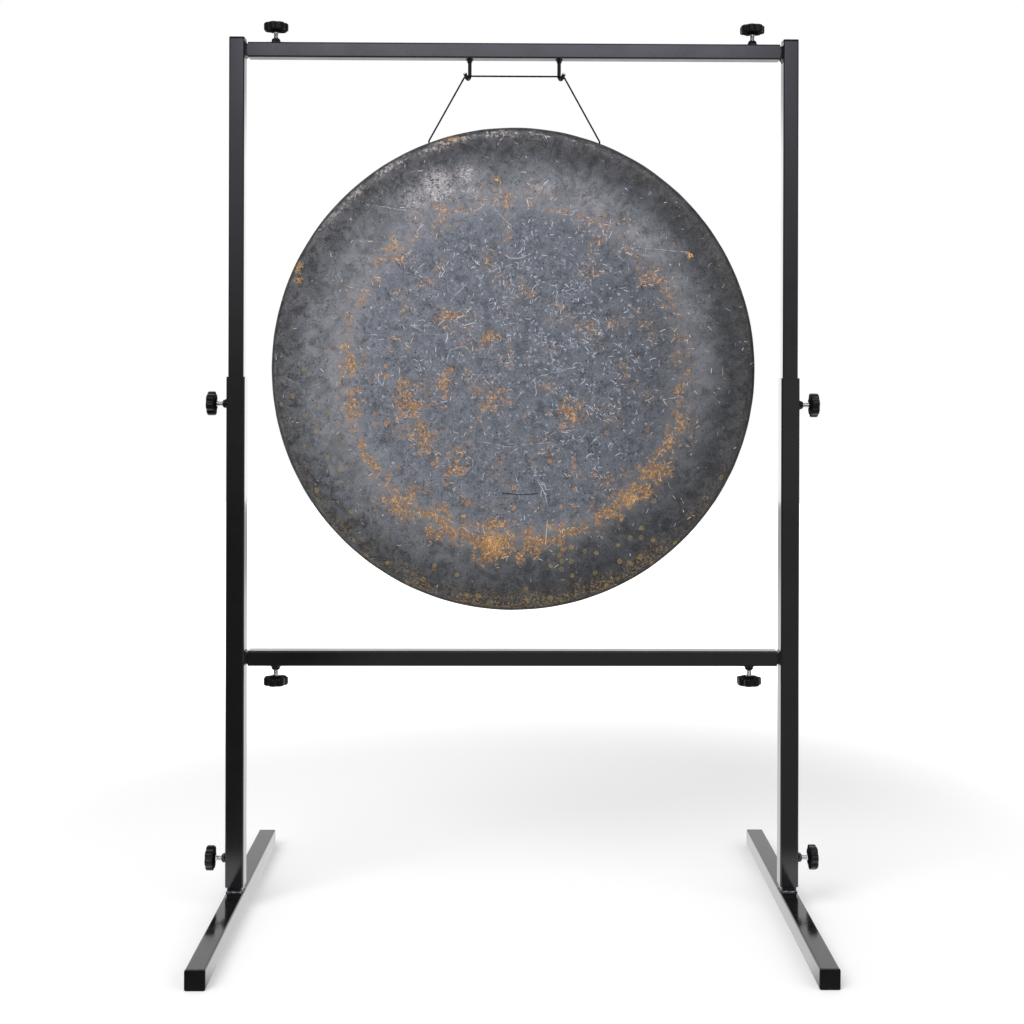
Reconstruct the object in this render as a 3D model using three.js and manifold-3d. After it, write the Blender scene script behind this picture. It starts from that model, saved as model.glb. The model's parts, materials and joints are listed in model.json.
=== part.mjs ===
// Gong stand: a knock-down frame of square steel tube on two long feet, with a gong hung in it on a cord.
// Millimetres. +Z is up, the gong faces -Y, and left is -X, as seen from in front of the gong.
// The origin is on the floor, in the middle of the four ends of the feet.

import * as THREE from 'three';
import { mergeVertices } from 'three/addons/utils/BufferGeometryUtils.js';
import Module from 'manifold-3d';

const wasm = await Module();
wasm.setup();

// Tube stock: each smaller tube slides inside the next larger one
const outerTube = 30;
const tubeWall = 1.5;
const tubeInnerCorner = 1;
const slideClearance = 1;
const midTube = outerTube - 2 * (tubeWall + slideClearance);
const innerTube = midTube - 2 * (tubeWall + slideClearance);

// Fits
const seatGap = 0.3;
const cutOverrun = 1;

// Gong, which the frame is built round
const gongDiameter = 793;
const gongWall = 2;
const gongRimDepth = 40;
const gongRimTaper = 4;
const gongEdgeRadius = 17;
const gongDome = 8;
const gongFlatShare = 0.66;
const gongFlatRiseShare = 0.8;
const gongLeanDegrees = 3.005;
const gongSideGap = 42.3;
const gongToLowerBar = 60;

// Cord
const cordDiameter = 3;
const cordHoleSpacing = 277.6;
const cordHoleDiameter = 6;
const cordHoleDepth = 20;
const cordRise = 109.3;
const cordBendOut = 4.4;
const cordBendCut = 3.2;
const cordHoleRise = 2.6;
const cordHoleCut = 2.3;
const cordKnotDiameter = 8.6;

// Hooks
const hookSpacing = 146;
const hookRod = 6;
const hookInnerRadius = 4;
const hookShank = 26;
const hookTip = 8;
const hookBendDegrees = 135;
const hookTurnDegrees = 64;
const hookWeldRadius = 6.6;
const hookWeldHeight = 6;

// Frame
const footLength = 610;
const footToPost = 10;
const footStubPastScrew = 96;
const lowerPostLength = 829;
const upperPostShows = 553;
const upperPostInsert = 347;
const barBelowTop = 8.5;
const barEndGap = 5.5;
const barStubPastScrew = 35;
const stubWeldLeg = 2.2;

// End plugs
const plugPlate = 3;
const plugRound = 0.8;
const plugInsert = 16;
const plugInsertWall = 2;
const plugFit = 0.3;

// Clamp screws
const screwInset = 44;
const screwDiameter = 8;
const screwFit = 0.2;
const screwHoleFit = 0.5;
const screwTipChamfer = 1.2;
const screwShows = 10.6;
const screwInKnob = 10;
const collarDiameter = 9.6;
const collarHeight = 2.4;
const nutAcrossFlats = 13;
const nutHeight = 7.2;
const nutChamfer = 1.2;
const nutWeldRadius = 8.6;
const nutWeldHeight = 4.2;
const knobDiameter = 40;
const knobLobes = 7;
const knobLobeDepth = 2.2;
const knobSide = 10.2;
const knobDome = 3.3;
const knobTopShare = 0.55;
const knobShoulderShare = 0.86;
const knobShoulderDropShare = 0.3;
const knobHub = 1.8;
const knobHubRadius = 8.5;
const knobHubFlare = 1.5;

// How finely round shapes are divided
const cornerSteps = 2;
const boltSides = 16;
const hexSides = 6;
const squareSides = 4;
const weldSides = 20;
const lobeSteps = 6;
const rodSides = 10;
const bendSteps = 9;
const cordSides = 8;
const cordBendSteps = 7;
const gongSides = 84;
const gongEdgeSteps = 5;
const knotSides = 10;
const knotRings = 7;

// Heights and places that follow from the sizes above
const postBottom = outerTube + footToPost;
const postTop = postBottom + lowerPostLength;
const standTop = postTop + upperPostShows;
const topBarHeight = standTop - barBelowTop - midTube / 2;
const hookBendRadius = hookInnerRadius + hookRod / 2;
const hookTop = topBarHeight - midTube / 2 - seatGap;
const hookBendHeight = hookTop - hookShank;
const hookBottom = hookBendHeight - hookBendRadius;
const hookTurn = THREE.MathUtils.degToRad(hookTurnDegrees);
const saddleX = hookSpacing / 2 + hookBendRadius * Math.cos(hookTurn);
const cordY = -hookBendRadius * Math.sin(hookTurn);
const cordHeight = hookBottom + hookRod / 2 + cordDiameter / 2 + seatGap;
const holeHeight = cordHeight - cordRise;
const gongRadius = gongDiameter / 2;
const gongLean = THREE.MathUtils.degToRad(gongLeanDegrees);
const holeAngle = Math.asin(cordHoleSpacing / gongDiameter);
const holeDrop = gongRadius * Math.cos(holeAngle);
const gongBottom = holeHeight - (holeDrop + gongRadius) * Math.cos(gongLean);
const lowerBarHeight = gongBottom - gongToLowerBar - midTube / 2;
const postX = gongRadius + gongSideGap + midTube / 2;
const knobBase = seatGap + nutHeight + screwShows;

// Materials
const powderCoat = new THREE.MeshStandardMaterial({ color: 0x1d1d1f, roughness: 0.28, metalness: 0 });
const weldedNut = new THREE.MeshStandardMaterial({ color: 0x161617, roughness: 0.4, metalness: 0 });
const zincPlate = new THREE.MeshStandardMaterial({ color: 0xb9bfc5, roughness: 0.3, metalness: 1 });
const blackPlastic = new THREE.MeshStandardMaterial({ color: 0x161618, roughness: 0.5, metalness: 0 });
const patinatedBronze = new THREE.MeshStandardMaterial({ color: 0x60656d, roughness: 0.5, metalness: 0.7 });
const cordFibre = new THREE.MeshStandardMaterial({ color: 0x2a2b2d, roughness: 0.9, metalness: 0 });

// Solids for cutting and joining

function solidOf(geometry) {
  const bare = geometry.clone();
  bare.deleteAttribute('normal');
  bare.deleteAttribute('uv');
  const merged = mergeVertices(bare);
  const mesh = new wasm.Mesh({
    numProp: 3,
    vertProperties: new Float32Array(merged.attributes.position.array),
    triVerts: new Uint32Array(merged.index.array),
  });
  return new wasm.Manifold(mesh);
}

function geometryOf(solid) {
  const mesh = solid.getMesh();
  const geometry = new THREE.BufferGeometry();
  geometry.setAttribute('position', new THREE.BufferAttribute(mesh.vertProperties, 3));
  geometry.setIndex(new THREE.BufferAttribute(mesh.triVerts, 1));
  geometry.computeVertexNormals();
  return geometry;
}

// Outlines and turned shapes

function squarePath(path, size, corner) {
  const reach = size / 2 - corner;
  path.absarc(reach, reach, corner, 0, Math.PI / 2, false);
  path.absarc(-reach, reach, corner, Math.PI / 2, Math.PI, false);
  path.absarc(-reach, -reach, corner, Math.PI, 1.5 * Math.PI, false);
  path.absarc(reach, -reach, corner, 1.5 * Math.PI, 2 * Math.PI, false);
  path.closePath();
  return path;
}

function squareBar(size, corner, length) {
  const shape = squarePath(new THREE.Shape(), size, corner);
  return new THREE.ExtrudeGeometry(shape, { depth: length, bevelEnabled: false, curveSegments: cornerSteps });
}

function squareTube(size, length) {
  const shape = squarePath(new THREE.Shape(), size, tubeInnerCorner + tubeWall);
  shape.holes.push(squarePath(new THREE.Path(), size - 2 * tubeWall, tubeInnerCorner));
  return new THREE.ExtrudeGeometry(shape, { depth: length, bevelEnabled: false, curveSegments: cornerSteps });
}

// A cylinder or cone that stands on its base along +Z
function upright(baseRadius, topRadius, height, sides) {
  const geometry = new THREE.CylinderGeometry(topRadius, baseRadius, height, sides);
  geometry.rotateX(Math.PI / 2);
  return geometry.translate(0, 0, height / 2);
}

// A turned shape from [radius, place] points, the place being along its axis, which is +Y
function turned(points, sides) {
  const profile = points.map(([radius, place]) => new THREE.Vector2(radius, place));
  return new THREE.LatheGeometry(profile, sides);
}

// A route whose points are the steps of an extrusion
class Route extends THREE.Curve {
  constructor(points) {
    super();
    this.points = points;
  }

  getUtoTmapping(share) {
    return share;
  }

  getPoint(share) {
    const place = share * (this.points.length - 1);
    const index = Math.min(Math.floor(place), this.points.length - 2);
    return this.points[index].clone().lerp(this.points[index + 1], place - index);
  }

  getTangent(share) {
    const last = this.points.length - 1;
    const index = Math.round(share * last);
    const tangent = new THREE.Vector3();
    for (const start of [index - 1, index]) {
      if (start >= 0 && start < last) {
        tangent.add(this.points[start + 1].clone().sub(this.points[start]).normalize());
      }
    }
    return tangent.normalize();
  }
}

function rodAlong(points, diameter, sides) {
  const section = new THREE.Shape();
  section.absarc(0, 0, diameter / 2, 0, 2 * Math.PI, false);
  return new THREE.ExtrudeGeometry(section, {
    extrudePath: new Route(points),
    steps: points.length - 1,
    curveSegments: sides / 2,
    bevelEnabled: false,
  });
}

// Frame pieces

function drilledTube(size, length, screwPlaces, turn) {
  let solid = solidOf(squareTube(size, length));
  for (const place of screwPlaces) {
    const radius = screwDiameter / 2 + screwHoleFit;
    const drill = upright(radius, radius, size / 2 + cutOverrun, boltSides);
    drill.rotateY(Math.PI / 2);
    drill.translate(0, 0, place);
    drill.rotateZ(turn);
    solid = solid.subtract(solidOf(drill));
  }
  return geometryOf(solid);
}

// A tube that stands on the face it is welded to, with the weld's fillet round its foot
function weldedStub(size, length) {
  const corner = tubeInnerCorner + tubeWall;
  const foot = (size / 2 + stubWeldLeg) * Math.SQRT2;
  const neck = (size / 2 - tubeWall / 2) * Math.SQRT2;
  const fillet = upright(foot, neck, stubWeldLeg + tubeWall / 2, squareSides).rotateZ(Math.PI / 4);
  const bore = squareBar(size - 2 * tubeWall, tubeInnerCorner, length + 2 * cutOverrun);
  bore.translate(0, 0, -cutOverrun);
  return geometryOf(solidOf(squareBar(size, corner, length)).add(solidOf(fillet)).subtract(solidOf(bore)));
}

// A plug that closes a tube's end: its plate stands on the end along +Z and its insert reaches into the tube
function endPlug(size) {
  const corner = tubeInnerCorner + tubeWall;
  const bore = size - 2 * tubeWall;
  const plate = new THREE.ExtrudeGeometry(squarePath(new THREE.Shape(), size - 2 * plugRound, corner - plugRound), {
    depth: plugPlate - 2 * plugRound,
    bevelThickness: plugRound,
    bevelSize: plugRound,
    bevelSegments: 1,
    curveSegments: cornerSteps,
  });
  plate.translate(0, 0, plugRound + seatGap);
  const insert = squareBar(bore - 2 * plugFit, tubeInnerCorner, plugInsert + seatGap + plugPlate / 2);
  insert.translate(0, 0, -plugInsert);
  const hollow = squareBar(bore - 2 * (plugFit + plugInsertWall), tubeInnerCorner / 2, plugInsert + cutOverrun);
  hollow.translate(0, 0, -plugInsert - cutOverrun);
  return geometryOf(solidOf(plate).add(solidOf(insert)).subtract(solidOf(hollow)));
}

// Clamp screw pieces, with the screw's axis along +Z and the tube's face at zero

function weldNut() {
  const cornerRadius = nutAcrossFlats / (2 * Math.cos(Math.PI / hexSides));
  const body = upright(cornerRadius, cornerRadius, nutHeight - nutChamfer, hexSides);
  const top = upright(cornerRadius, cornerRadius - nutChamfer, nutChamfer, hexSides);
  top.translate(0, 0, nutHeight - nutChamfer);
  const fillet = upright(nutWeldRadius, nutAcrossFlats / 2, nutWeldHeight, weldSides);
  const boreRadius = screwDiameter / 2 + screwFit;
  const bore = upright(boreRadius, boreRadius, nutHeight + 2 * cutOverrun, boltSides);
  bore.translate(0, 0, -cutOverrun);
  const joined = solidOf(body).add(solidOf(top)).add(solidOf(fillet)).subtract(solidOf(bore));
  return geometryOf(joined).translate(0, 0, seatGap);
}

// A bolt with the collar that its knob sits on
function clampBolt() {
  const radius = screwDiameter / 2;
  const tip = seatGap - tubeWall - slideClearance;
  const collarTop = knobBase - seatGap;
  return turned([
    [0, tip],
    [radius - screwTipChamfer, tip],
    [radius, tip + screwTipChamfer],
    [radius, collarTop - collarHeight],
    [collarDiameter / 2, collarTop - collarHeight],
    [collarDiameter / 2, collarTop],
    [radius, collarTop],
    [radius, knobBase + screwInKnob],
    [0, knobBase + screwInKnob],
  ], boltSides).rotateX(Math.PI / 2);
}

// The lobed outline: full radius on the lobes, drawn in between them
function lobedOutline() {
  const steps = knobLobes * lobeSteps;
  const points = [];
  for (let step = 0; step < steps; step += 1) {
    const angle = (2 * Math.PI * step) / steps;
    const valley = (1 - Math.cos(knobLobes * angle)) / 2;
    const radius = knobDiameter / 2 - knobLobeDepth * valley ** 2;
    points.push(new THREE.Vector2(radius * Math.cos(angle), radius * Math.sin(angle)));
  }
  return new THREE.Shape(points);
}

function knob() {
  const radius = knobDiameter / 2;
  const sides = knobLobes * lobeSteps;
  const height = knobHub + knobSide + knobDome;
  const lobed = new THREE.ExtrudeGeometry(lobedOutline(), { depth: knobSide + knobDome, bevelEnabled: false });
  lobed.translate(0, 0, knobHub);
  const crown = turned([
    [0, 0],
    [radius + cutOverrun, 0],
    [radius + cutOverrun, knobHub + knobSide],
    [radius * knobShoulderShare, height - knobDome * knobShoulderDropShare],
    [radius * knobTopShare, height],
    [0, height],
  ], sides).rotateX(Math.PI / 2).rotateZ(Math.PI / 2);
  const hub = upright(knobHubRadius, knobHubRadius + knobHubFlare, knobHub + cutOverrun, weldSides);
  const boreRadius = screwDiameter / 2 + screwFit;
  const bore = upright(boreRadius, boreRadius, screwInKnob + seatGap + cutOverrun, boltSides);
  bore.translate(0, 0, -cutOverrun);
  const body = solidOf(lobed).intersect(solidOf(crown)).add(solidOf(hub)).subtract(solidOf(bore));
  return geometryOf(body).translate(0, 0, knobBase);
}

// Hook: a straight shank down from the crossbar, then a bend that comes up again in its tip.
// The bend runs towards +X here.
function hook() {
  const bend = THREE.MathUtils.degToRad(hookBendDegrees);
  const points = [new THREE.Vector3(0, 0, hookTop), new THREE.Vector3(0, 0, hookBendHeight + hookShank / 2)];
  for (let step = 0; step <= bendSteps; step += 1) {
    const angle = (bend * step) / bendSteps;
    const out = hookBendRadius * (1 - Math.cos(angle));
    points.push(new THREE.Vector3(out, 0, hookBendHeight - hookBendRadius * Math.sin(angle)));
  }
  const along = new THREE.Vector3(Math.sin(bend), 0, -Math.cos(bend));
  points.push(points[points.length - 1].clone().addScaledVector(along, hookTip));
  const weld = upright(hookRod / 2, hookWeldRadius, hookWeldHeight, weldSides);
  weld.translate(0, 0, hookTop - hookWeldHeight);
  return geometryOf(solidOf(rodAlong(points, hookRod, rodSides)).add(solidOf(weld)));
}

// Gong, with its middle at the origin, the edge of its face in the plane y = 0 and its rim back along +Y

// One skin of the gong, from its middle to its lip, drawn in from the outer skin by an inset
function gongSkin(inset) {
  const edge = gongEdgeRadius - inset;
  const edgeMiddle = gongRadius - gongEdgeRadius;
  const points = [
    [0, inset - gongDome],
    [gongRadius * gongFlatShare, inset - gongDome * gongFlatRiseShare],
  ];
  for (let step = 0; step <= gongEdgeSteps; step += 1) {
    const angle = ((Math.PI / 2) * step) / gongEdgeSteps;
    points.push([edgeMiddle + edge * Math.sin(angle), gongEdgeRadius - edge * Math.cos(angle)]);
  }
  points.push([gongRadius - inset - gongRimTaper, gongRimDepth]);
  return points;
}

function gong() {
  let solid = solidOf(turned(gongSkin(0).concat(gongSkin(gongWall).reverse()), gongSides));
  for (const side of [-1, 1]) {
    const radius = cordHoleDiameter / 2;
    const drill = upright(radius, radius, 2 * gongEdgeRadius, boltSides);
    drill.translate(0, 0, gongRadius - gongEdgeRadius);
    drill.rotateY(side * holeAngle);
    drill.translate(0, cordHoleDepth, 0);
    solid = solid.subtract(solidOf(drill));
  }
  return geometryOf(solid);
}

// A route through the given points, with each inner corner rounded off over its cut
function roundedRoute(points, cuts, steps) {
  const route = [points[0]];
  for (let index = 1; index < points.length - 1; index += 1) {
    const corner = points[index];
    const cut = cuts[index - 1];
    const before = corner.clone().add(points[index - 1].clone().sub(corner).setLength(cut));
    const after = corner.clone().add(points[index + 1].clone().sub(corner).setLength(cut));
    route.push(...new THREE.QuadraticBezierCurve3(before, corner, after).getPoints(steps));
  }
  route.push(points[points.length - 1]);
  return route;
}

// The cord runs level through both hooks, down to the rim's holes and through them to its stopper knots
function gongCord() {
  const knotRadius = cordKnotDiameter / 2;
  const rimDrawnIn = gongRimTaper * (cordHoleDepth - gongEdgeRadius) / (gongRimDepth - gongEdgeRadius);
  const knotDepth = rimDrawnIn + gongWall + seatGap + knotRadius;
  const sides = [-1, 1].map((side) => {
    const hole = new THREE.Vector3(side * cordHoleSpacing / 2, cordY, holeHeight);
    const outward = new THREE.Vector3(side * Math.sin(holeAngle), 0, Math.cos(holeAngle));
    outward.applyAxisAngle(new THREE.Vector3(1, 0, 0), gongLean);
    return {
      knot: hole.clone().addScaledVector(outward, -knotDepth),
      rise: hole.clone().addScaledVector(outward, cordHoleRise),
      bend: new THREE.Vector3(side * (saddleX + cordBendOut), cordY, cordHeight),
    };
  });
  const [left, right] = sides;
  const corners = [left.knot, left.rise, left.bend, right.bend, right.rise, right.knot];
  const cuts = [cordHoleCut, cordBendCut, cordBendCut, cordHoleCut];
  let solid = solidOf(rodAlong(roundedRoute(corners, cuts, cordBendSteps), cordDiameter, cordSides));
  for (const { knot } of sides) {
    const ball = new THREE.SphereGeometry(knotRadius, knotSides, knotRings);
    solid = solid.add(solidOf(ball.translate(knot.x, knot.y, knot.z)));
  }
  return geometryOf(solid);
}

// The assembly

const stand = new THREE.Group();

function place(parent, name, geometry, material, position = [0, 0, 0], rotation = [0, 0, 0]) {
  const mesh = new THREE.Mesh(geometry, material);
  mesh.name = name;
  mesh.position.set(...position);
  mesh.rotation.set(...rotation);
  parent.add(mesh);
}

// The nut, bolt and knob of one clamp screw, on a tube's face, with the screw pointing out along the group's +Z
function clampScrew(name, position, rotation) {
  const group = new THREE.Group();
  group.position.set(...position);
  group.rotation.set(...rotation);
  place(group, `${name}_nut`, weldNut(), weldedNut);
  place(group, `${name}_bolt`, clampBolt(), zincPlate);
  place(group, `${name}_knob`, knob(), blackPlastic);
  stand.add(group);
}

const quarter = Math.PI / 2;
const barStubLength = barEndGap + screwInset + barStubPastScrew - seatGap;
const bars = [
  { name: 'lower', post: outerTube, height: lowerBarHeight, screwUp: -1 },
  { name: 'top', post: midTube, height: topBarHeight, screwUp: 1 },
];

for (const [sideName, side] of [['left', -1], ['right', 1]]) {
  const x = side * postX;
  const outwardTurn = side < 0 ? Math.PI : 0;

  // Foot: a tube on the floor with a plug in each end and a stub welded on top
  const footTube = footLength - 2 * (plugPlate + seatGap);
  place(stand, `${sideName}_foot_tube`, squareTube(outerTube, footTube), powderCoat,
    [x, -footTube / 2, outerTube / 2], [-quarter, 0, 0]);
  place(stand, `${sideName}_foot_front_plug`, endPlug(outerTube), blackPlastic,
    [x, -footTube / 2, outerTube / 2], [quarter, 0, 0]);
  place(stand, `${sideName}_foot_rear_plug`, endPlug(outerTube), blackPlastic,
    [x, footTube / 2, outerTube / 2], [-quarter, 0, 0]);
  const footStub = footToPost + screwInset + footStubPastScrew - seatGap;
  place(stand, `${sideName}_foot_stub`, weldedStub(midTube, footStub), powderCoat, [x, 0, outerTube + seatGap]);

  // Uprights: the upper one slides inside the lower one
  place(stand, `${sideName}_lower_upright`,
    drilledTube(outerTube, lowerPostLength, [screwInset, lowerPostLength - screwInset], outwardTurn),
    powderCoat, [x, 0, postBottom]);
  const upperTop = standTop - plugPlate - seatGap;
  const upperBottom = postTop - upperPostInsert;
  place(stand, `${sideName}_upper_upright`, squareTube(midTube, upperTop - upperBottom), powderCoat,
    [x, 0, upperBottom]);
  place(stand, `${sideName}_top_plug`, endPlug(midTube), blackPlastic, [x, 0, upperTop]);

  // Clamp screws of the foot and of the height setting
  const face = side * (postX + outerTube / 2);
  clampScrew(`${sideName}_foot`, [face, 0, postBottom + screwInset], [0, side * quarter, 0]);
  clampScrew(`${sideName}_height`, [face, 0, postTop - screwInset], [0, side * quarter, 0]);

  // Stubs that the crossbars slip over, with the crossbars' clamp screws
  for (const bar of bars) {
    place(stand, `${sideName}_${bar.name}_bar_stub`, weldedStub(innerTube, barStubLength), powderCoat,
      [side * (postX - bar.post / 2 - seatGap), 0, bar.height], [0, -side * quarter, 0]);
    clampScrew(`${sideName}_${bar.name}_bar`,
      [side * (postX - bar.post / 2 - barEndGap - screwInset), 0, bar.height + bar.screwUp * midTube / 2],
      [bar.screwUp > 0 ? 0 : Math.PI, 0, 0]);
  }

  // Hook, turned so that its tip comes forward and outward
  place(stand, `${sideName}_hook`, hook(), powderCoat, [side * hookSpacing / 2, 0, 0],
    [0, 0, side < 0 ? hookTurn - Math.PI : -hookTurn]);
}

// Crossbars, drilled near each end in the face that carries their nuts
for (const bar of bars) {
  const length = 2 * (postX - bar.post / 2 - barEndGap);
  place(stand, `${bar.name}_crossbar`,
    drilledTube(midTube, length, [screwInset, length - screwInset], bar.screwUp > 0 ? Math.PI : 0),
    powderCoat, [-length / 2, 0, bar.height], [0, quarter, 0]);
}

// Gong, leaning as it hangs, so that its weight is right below the hooks
const leaning = new THREE.Group();
leaning.position.set(0, cordY, holeHeight);
leaning.rotation.x = gongLean;
place(leaning, 'gong', gong(), patinatedBronze, [0, -cordHoleDepth, -holeDrop]);
stand.add(leaning);
place(stand, 'gong_cord', gongCord(), cordFibre);

export default stand;
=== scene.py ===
# Looks of the gong stand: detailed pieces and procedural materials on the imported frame.
# Metres. +Z is up, the gong faces -Y, and left is -X, as seen from in front of the gong.

import json
import math
from functools import reduce

import bmesh
import bpy
from mathutils import Matrix, Vector, noise


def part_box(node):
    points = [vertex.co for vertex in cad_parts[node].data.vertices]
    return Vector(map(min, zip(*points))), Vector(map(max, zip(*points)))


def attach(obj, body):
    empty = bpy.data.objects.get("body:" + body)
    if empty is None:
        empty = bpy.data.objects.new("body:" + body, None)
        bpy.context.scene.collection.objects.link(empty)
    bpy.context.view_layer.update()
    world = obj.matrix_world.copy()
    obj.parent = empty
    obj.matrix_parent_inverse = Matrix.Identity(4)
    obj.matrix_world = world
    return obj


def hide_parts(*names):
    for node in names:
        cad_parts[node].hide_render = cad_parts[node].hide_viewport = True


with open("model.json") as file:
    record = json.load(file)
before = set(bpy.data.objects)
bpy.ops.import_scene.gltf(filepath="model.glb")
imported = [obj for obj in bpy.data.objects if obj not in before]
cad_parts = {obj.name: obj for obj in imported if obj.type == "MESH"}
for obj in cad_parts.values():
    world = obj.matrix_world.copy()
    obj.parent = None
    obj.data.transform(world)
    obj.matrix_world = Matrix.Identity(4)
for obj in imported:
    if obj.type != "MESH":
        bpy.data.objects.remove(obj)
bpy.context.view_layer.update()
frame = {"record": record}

MM = 0.001
QUARTER = math.pi / 2
TURN = 2 * math.pi
UP = Vector((0, 0, 1))

# Tube stock
TUBE_WALL = 1.5 * MM
TUBE_CORNER = 2.6 * MM
TUBE_CHAMFER = 0.35 * MM
SLIDE_CLEARANCE = 1 * MM
CORNER_STEPS = 6
SEAT_GAP = 0.3 * MM

# End plugs
PLUG_PLATE = 3 * MM
PLUG_ROUND = 0.9 * MM
PLUG_ROUND_STEPS = 4
PLUG_CROWN = 0.25 * MM
PLUG_WALL = 2 * MM
PLUG_TAPER = 0.3 * MM
PLUG_TAPER_LENGTH = 0.8 * MM

# Welds round the stubs
STUB_WELD_LEG = 2.2 * MM
STUB_WELD_RIPPLE = 2.6 * MM
STUB_WELD_SPACING = 0.7 * MM
FOOT_STUB_WELD_RISE = 3 * MM
LOWER_STUB_WELD_RISE = 2.6 * MM
TOP_STUB_WELD_RISE = 3.4 * MM
TOP_STUB_WELD_SAG = 1.6
WELD_RIPPLE_SHARE = 0.13
WELD_UNEVEN_SHARE = 0.22
WELD_UNEVEN_RIPPLES = 2.5

# Clamp screws
BOLT_RADIUS = 4 * MM
BOLT_CLEARANCE = 0.2 * MM
BOLT_TIP_CHAMFER = 1.2 * MM
BOLT_SIDES = 28
THREAD_DEPTH = 0.62 * MM
THREAD_PITCH = 1.25 * MM
THREAD_START = 3 * MM
THREAD_END = 17.2 * MM
THREAD_ROWS = 12
GROOVE_LEVEL = 1.25
GROOVE_SLOPE = 3.4
COLLAR_RADIUS = 4.8 * MM
COLLAR_LOW = 17.6 * MM
COLLAR_HIGH = 20 * MM
COLLAR_CHAMFER = 0.35 * MM
NUT_ACROSS_FLATS = 13 * MM
NUT_TOP_RADIUS = 5.3 * MM
NUT_BORE_CHAMFER = 0.5 * MM
NUT_SIDES = 6 * 8
NUT_WELD_LEG = 1.7 * MM
NUT_WELD_RISE = 3.9 * MM
NUT_WELD_RIPPLE = 3 * MM
NUT_WELD_SIDES = 84
KNOB_LOBES = 7
KNOB_LOBE_DEPTH = 2.3 * MM
KNOB_LOBE_SIDES = 22
KNOB_UNDERSIDE_ROWS = 12
DRILL_SIDES = 24

# Hooks
HOOK_SPACING = 146 * MM
HOOK_RADIUS = 3 * MM
HOOK_SIDES = 28
HOOK_BEND_RADIUS = 7 * MM
HOOK_BEND_STEPS = 24
HOOK_SHANK = 26 * MM
HOOK_SHANK_STEPS = 10
HOOK_TIP = 8 * MM
HOOK_CHAMFER = 0.5 * MM
HOOK_BEND = math.radians(135)
HOOK_TURN = math.radians(64)
HOOK_WELD_RADIUS = 6.4 * MM
HOOK_WELD_HEIGHT = 6 * MM
HOOK_WELD_RIPPLE = 2.4 * MM
HOOK_WELD_SIDES = 44

# Gong
GONG_RADIUS = (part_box("gong")[1].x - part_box("gong")[0].x) / 2
GONG_WALL = 2 * MM
GONG_RIM_DEPTH = 40 * MM
GONG_RIM_TAPER = 4 * MM
GONG_EDGE_RADIUS = 17 * MM
GONG_DOME = 8 * MM
GONG_LIP_BULGE = 0.35 * MM
GONG_FLAT_SHARE = 0.66
GONG_FLAT_RISE_SHARE = 0.8
GONG_BLEND_SHARE = 0.055
GONG_LEAN = math.radians(3.005)
GONG_SIDES = 432
GONG_FACE_ROWS = 120
GONG_EDGE_ROWS = 12
GONG_RIM_ROWS = 9
HAMMER_SIZE = 32 * MM
HAMMER_DEPTH = 0.34 * MM
HAMMER_START = Vector((3, 7, 1))
PEEN_SIZE = 11 * MM
PEEN_DEPTH = 0.1 * MM
PEEN_START = Vector((11, 2, 5))

# Cord
CORD_RADIUS = 1.5 * MM
CORD_HOLE_SPACING = 277.6 * MM
CORD_HOLE_RADIUS = 3 * MM
CORD_HOLE_DEPTH = 20 * MM
CORD_RISE = 109.3 * MM
CORD_BEND_OUT = 4.4 * MM
CORD_BEND_CUT = 3.2 * MM
CORD_HOLE_RISE = 2.6 * MM
CORD_HOLE_CUT = 2.3 * MM
CORD_CUT_STEPS = 12
CORD_STEP = 0.6 * MM
CORD_SIDES = 10
STRANDS = 3
STRAND_RADIUS = 0.84 * MM
STRAND_PITCH = 9 * MM
STRAND_SIDES = 8
KNOT_RADIUS = 4.3 * MM
KNOT_STEPS = 96
KNOT_DEPTH_SHARE = 1.6

# Edges sharper than this many degrees stay sharp when the rest is shaded smooth
TUBE_SHARP = 40
PLUG_SHARP = 50
NUT_SHARP = 38
KNOB_SHARP = 45
FINE_SHARP = 60

# Places that follow from the sizes above and the frame
HOOK_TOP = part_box("top_crossbar")[0].z - SEAT_GAP
HOOK_BOTTOM = HOOK_TOP - HOOK_SHANK - HOOK_BEND_RADIUS
SADDLE_X = HOOK_SPACING / 2 + HOOK_BEND_RADIUS * math.cos(HOOK_TURN)
CORD_Y = -HOOK_BEND_RADIUS * math.sin(HOOK_TURN)
CORD_HEIGHT = HOOK_BOTTOM + HOOK_RADIUS + CORD_RADIUS + SEAT_GAP
HOLE_HEIGHT = CORD_HEIGHT - CORD_RISE
HOLE_ANGLE = math.asin(CORD_HOLE_SPACING / 2 / GONG_RADIUS)
HOLE_DROP = GONG_RADIUS * math.cos(HOLE_ANGLE)

NODE_BODY = {
    node: body
    for body, nodes in frame["record"]["behaviour"]["bodies"].items()
    for node in nodes
}


# Meshes


def quads(rows, columns, closed=False):
    """The faces over rows of closed rings of points, the last row joined to the first if closed."""
    faces = []
    for row in range(rows if closed else rows - 1):
        here = row * columns
        there = (row + 1) % rows * columns
        for column in range(columns):
            beside = (column + 1) % columns
            faces.append([here + column, here + beside, there + beside, there + column])
    return faces


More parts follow.
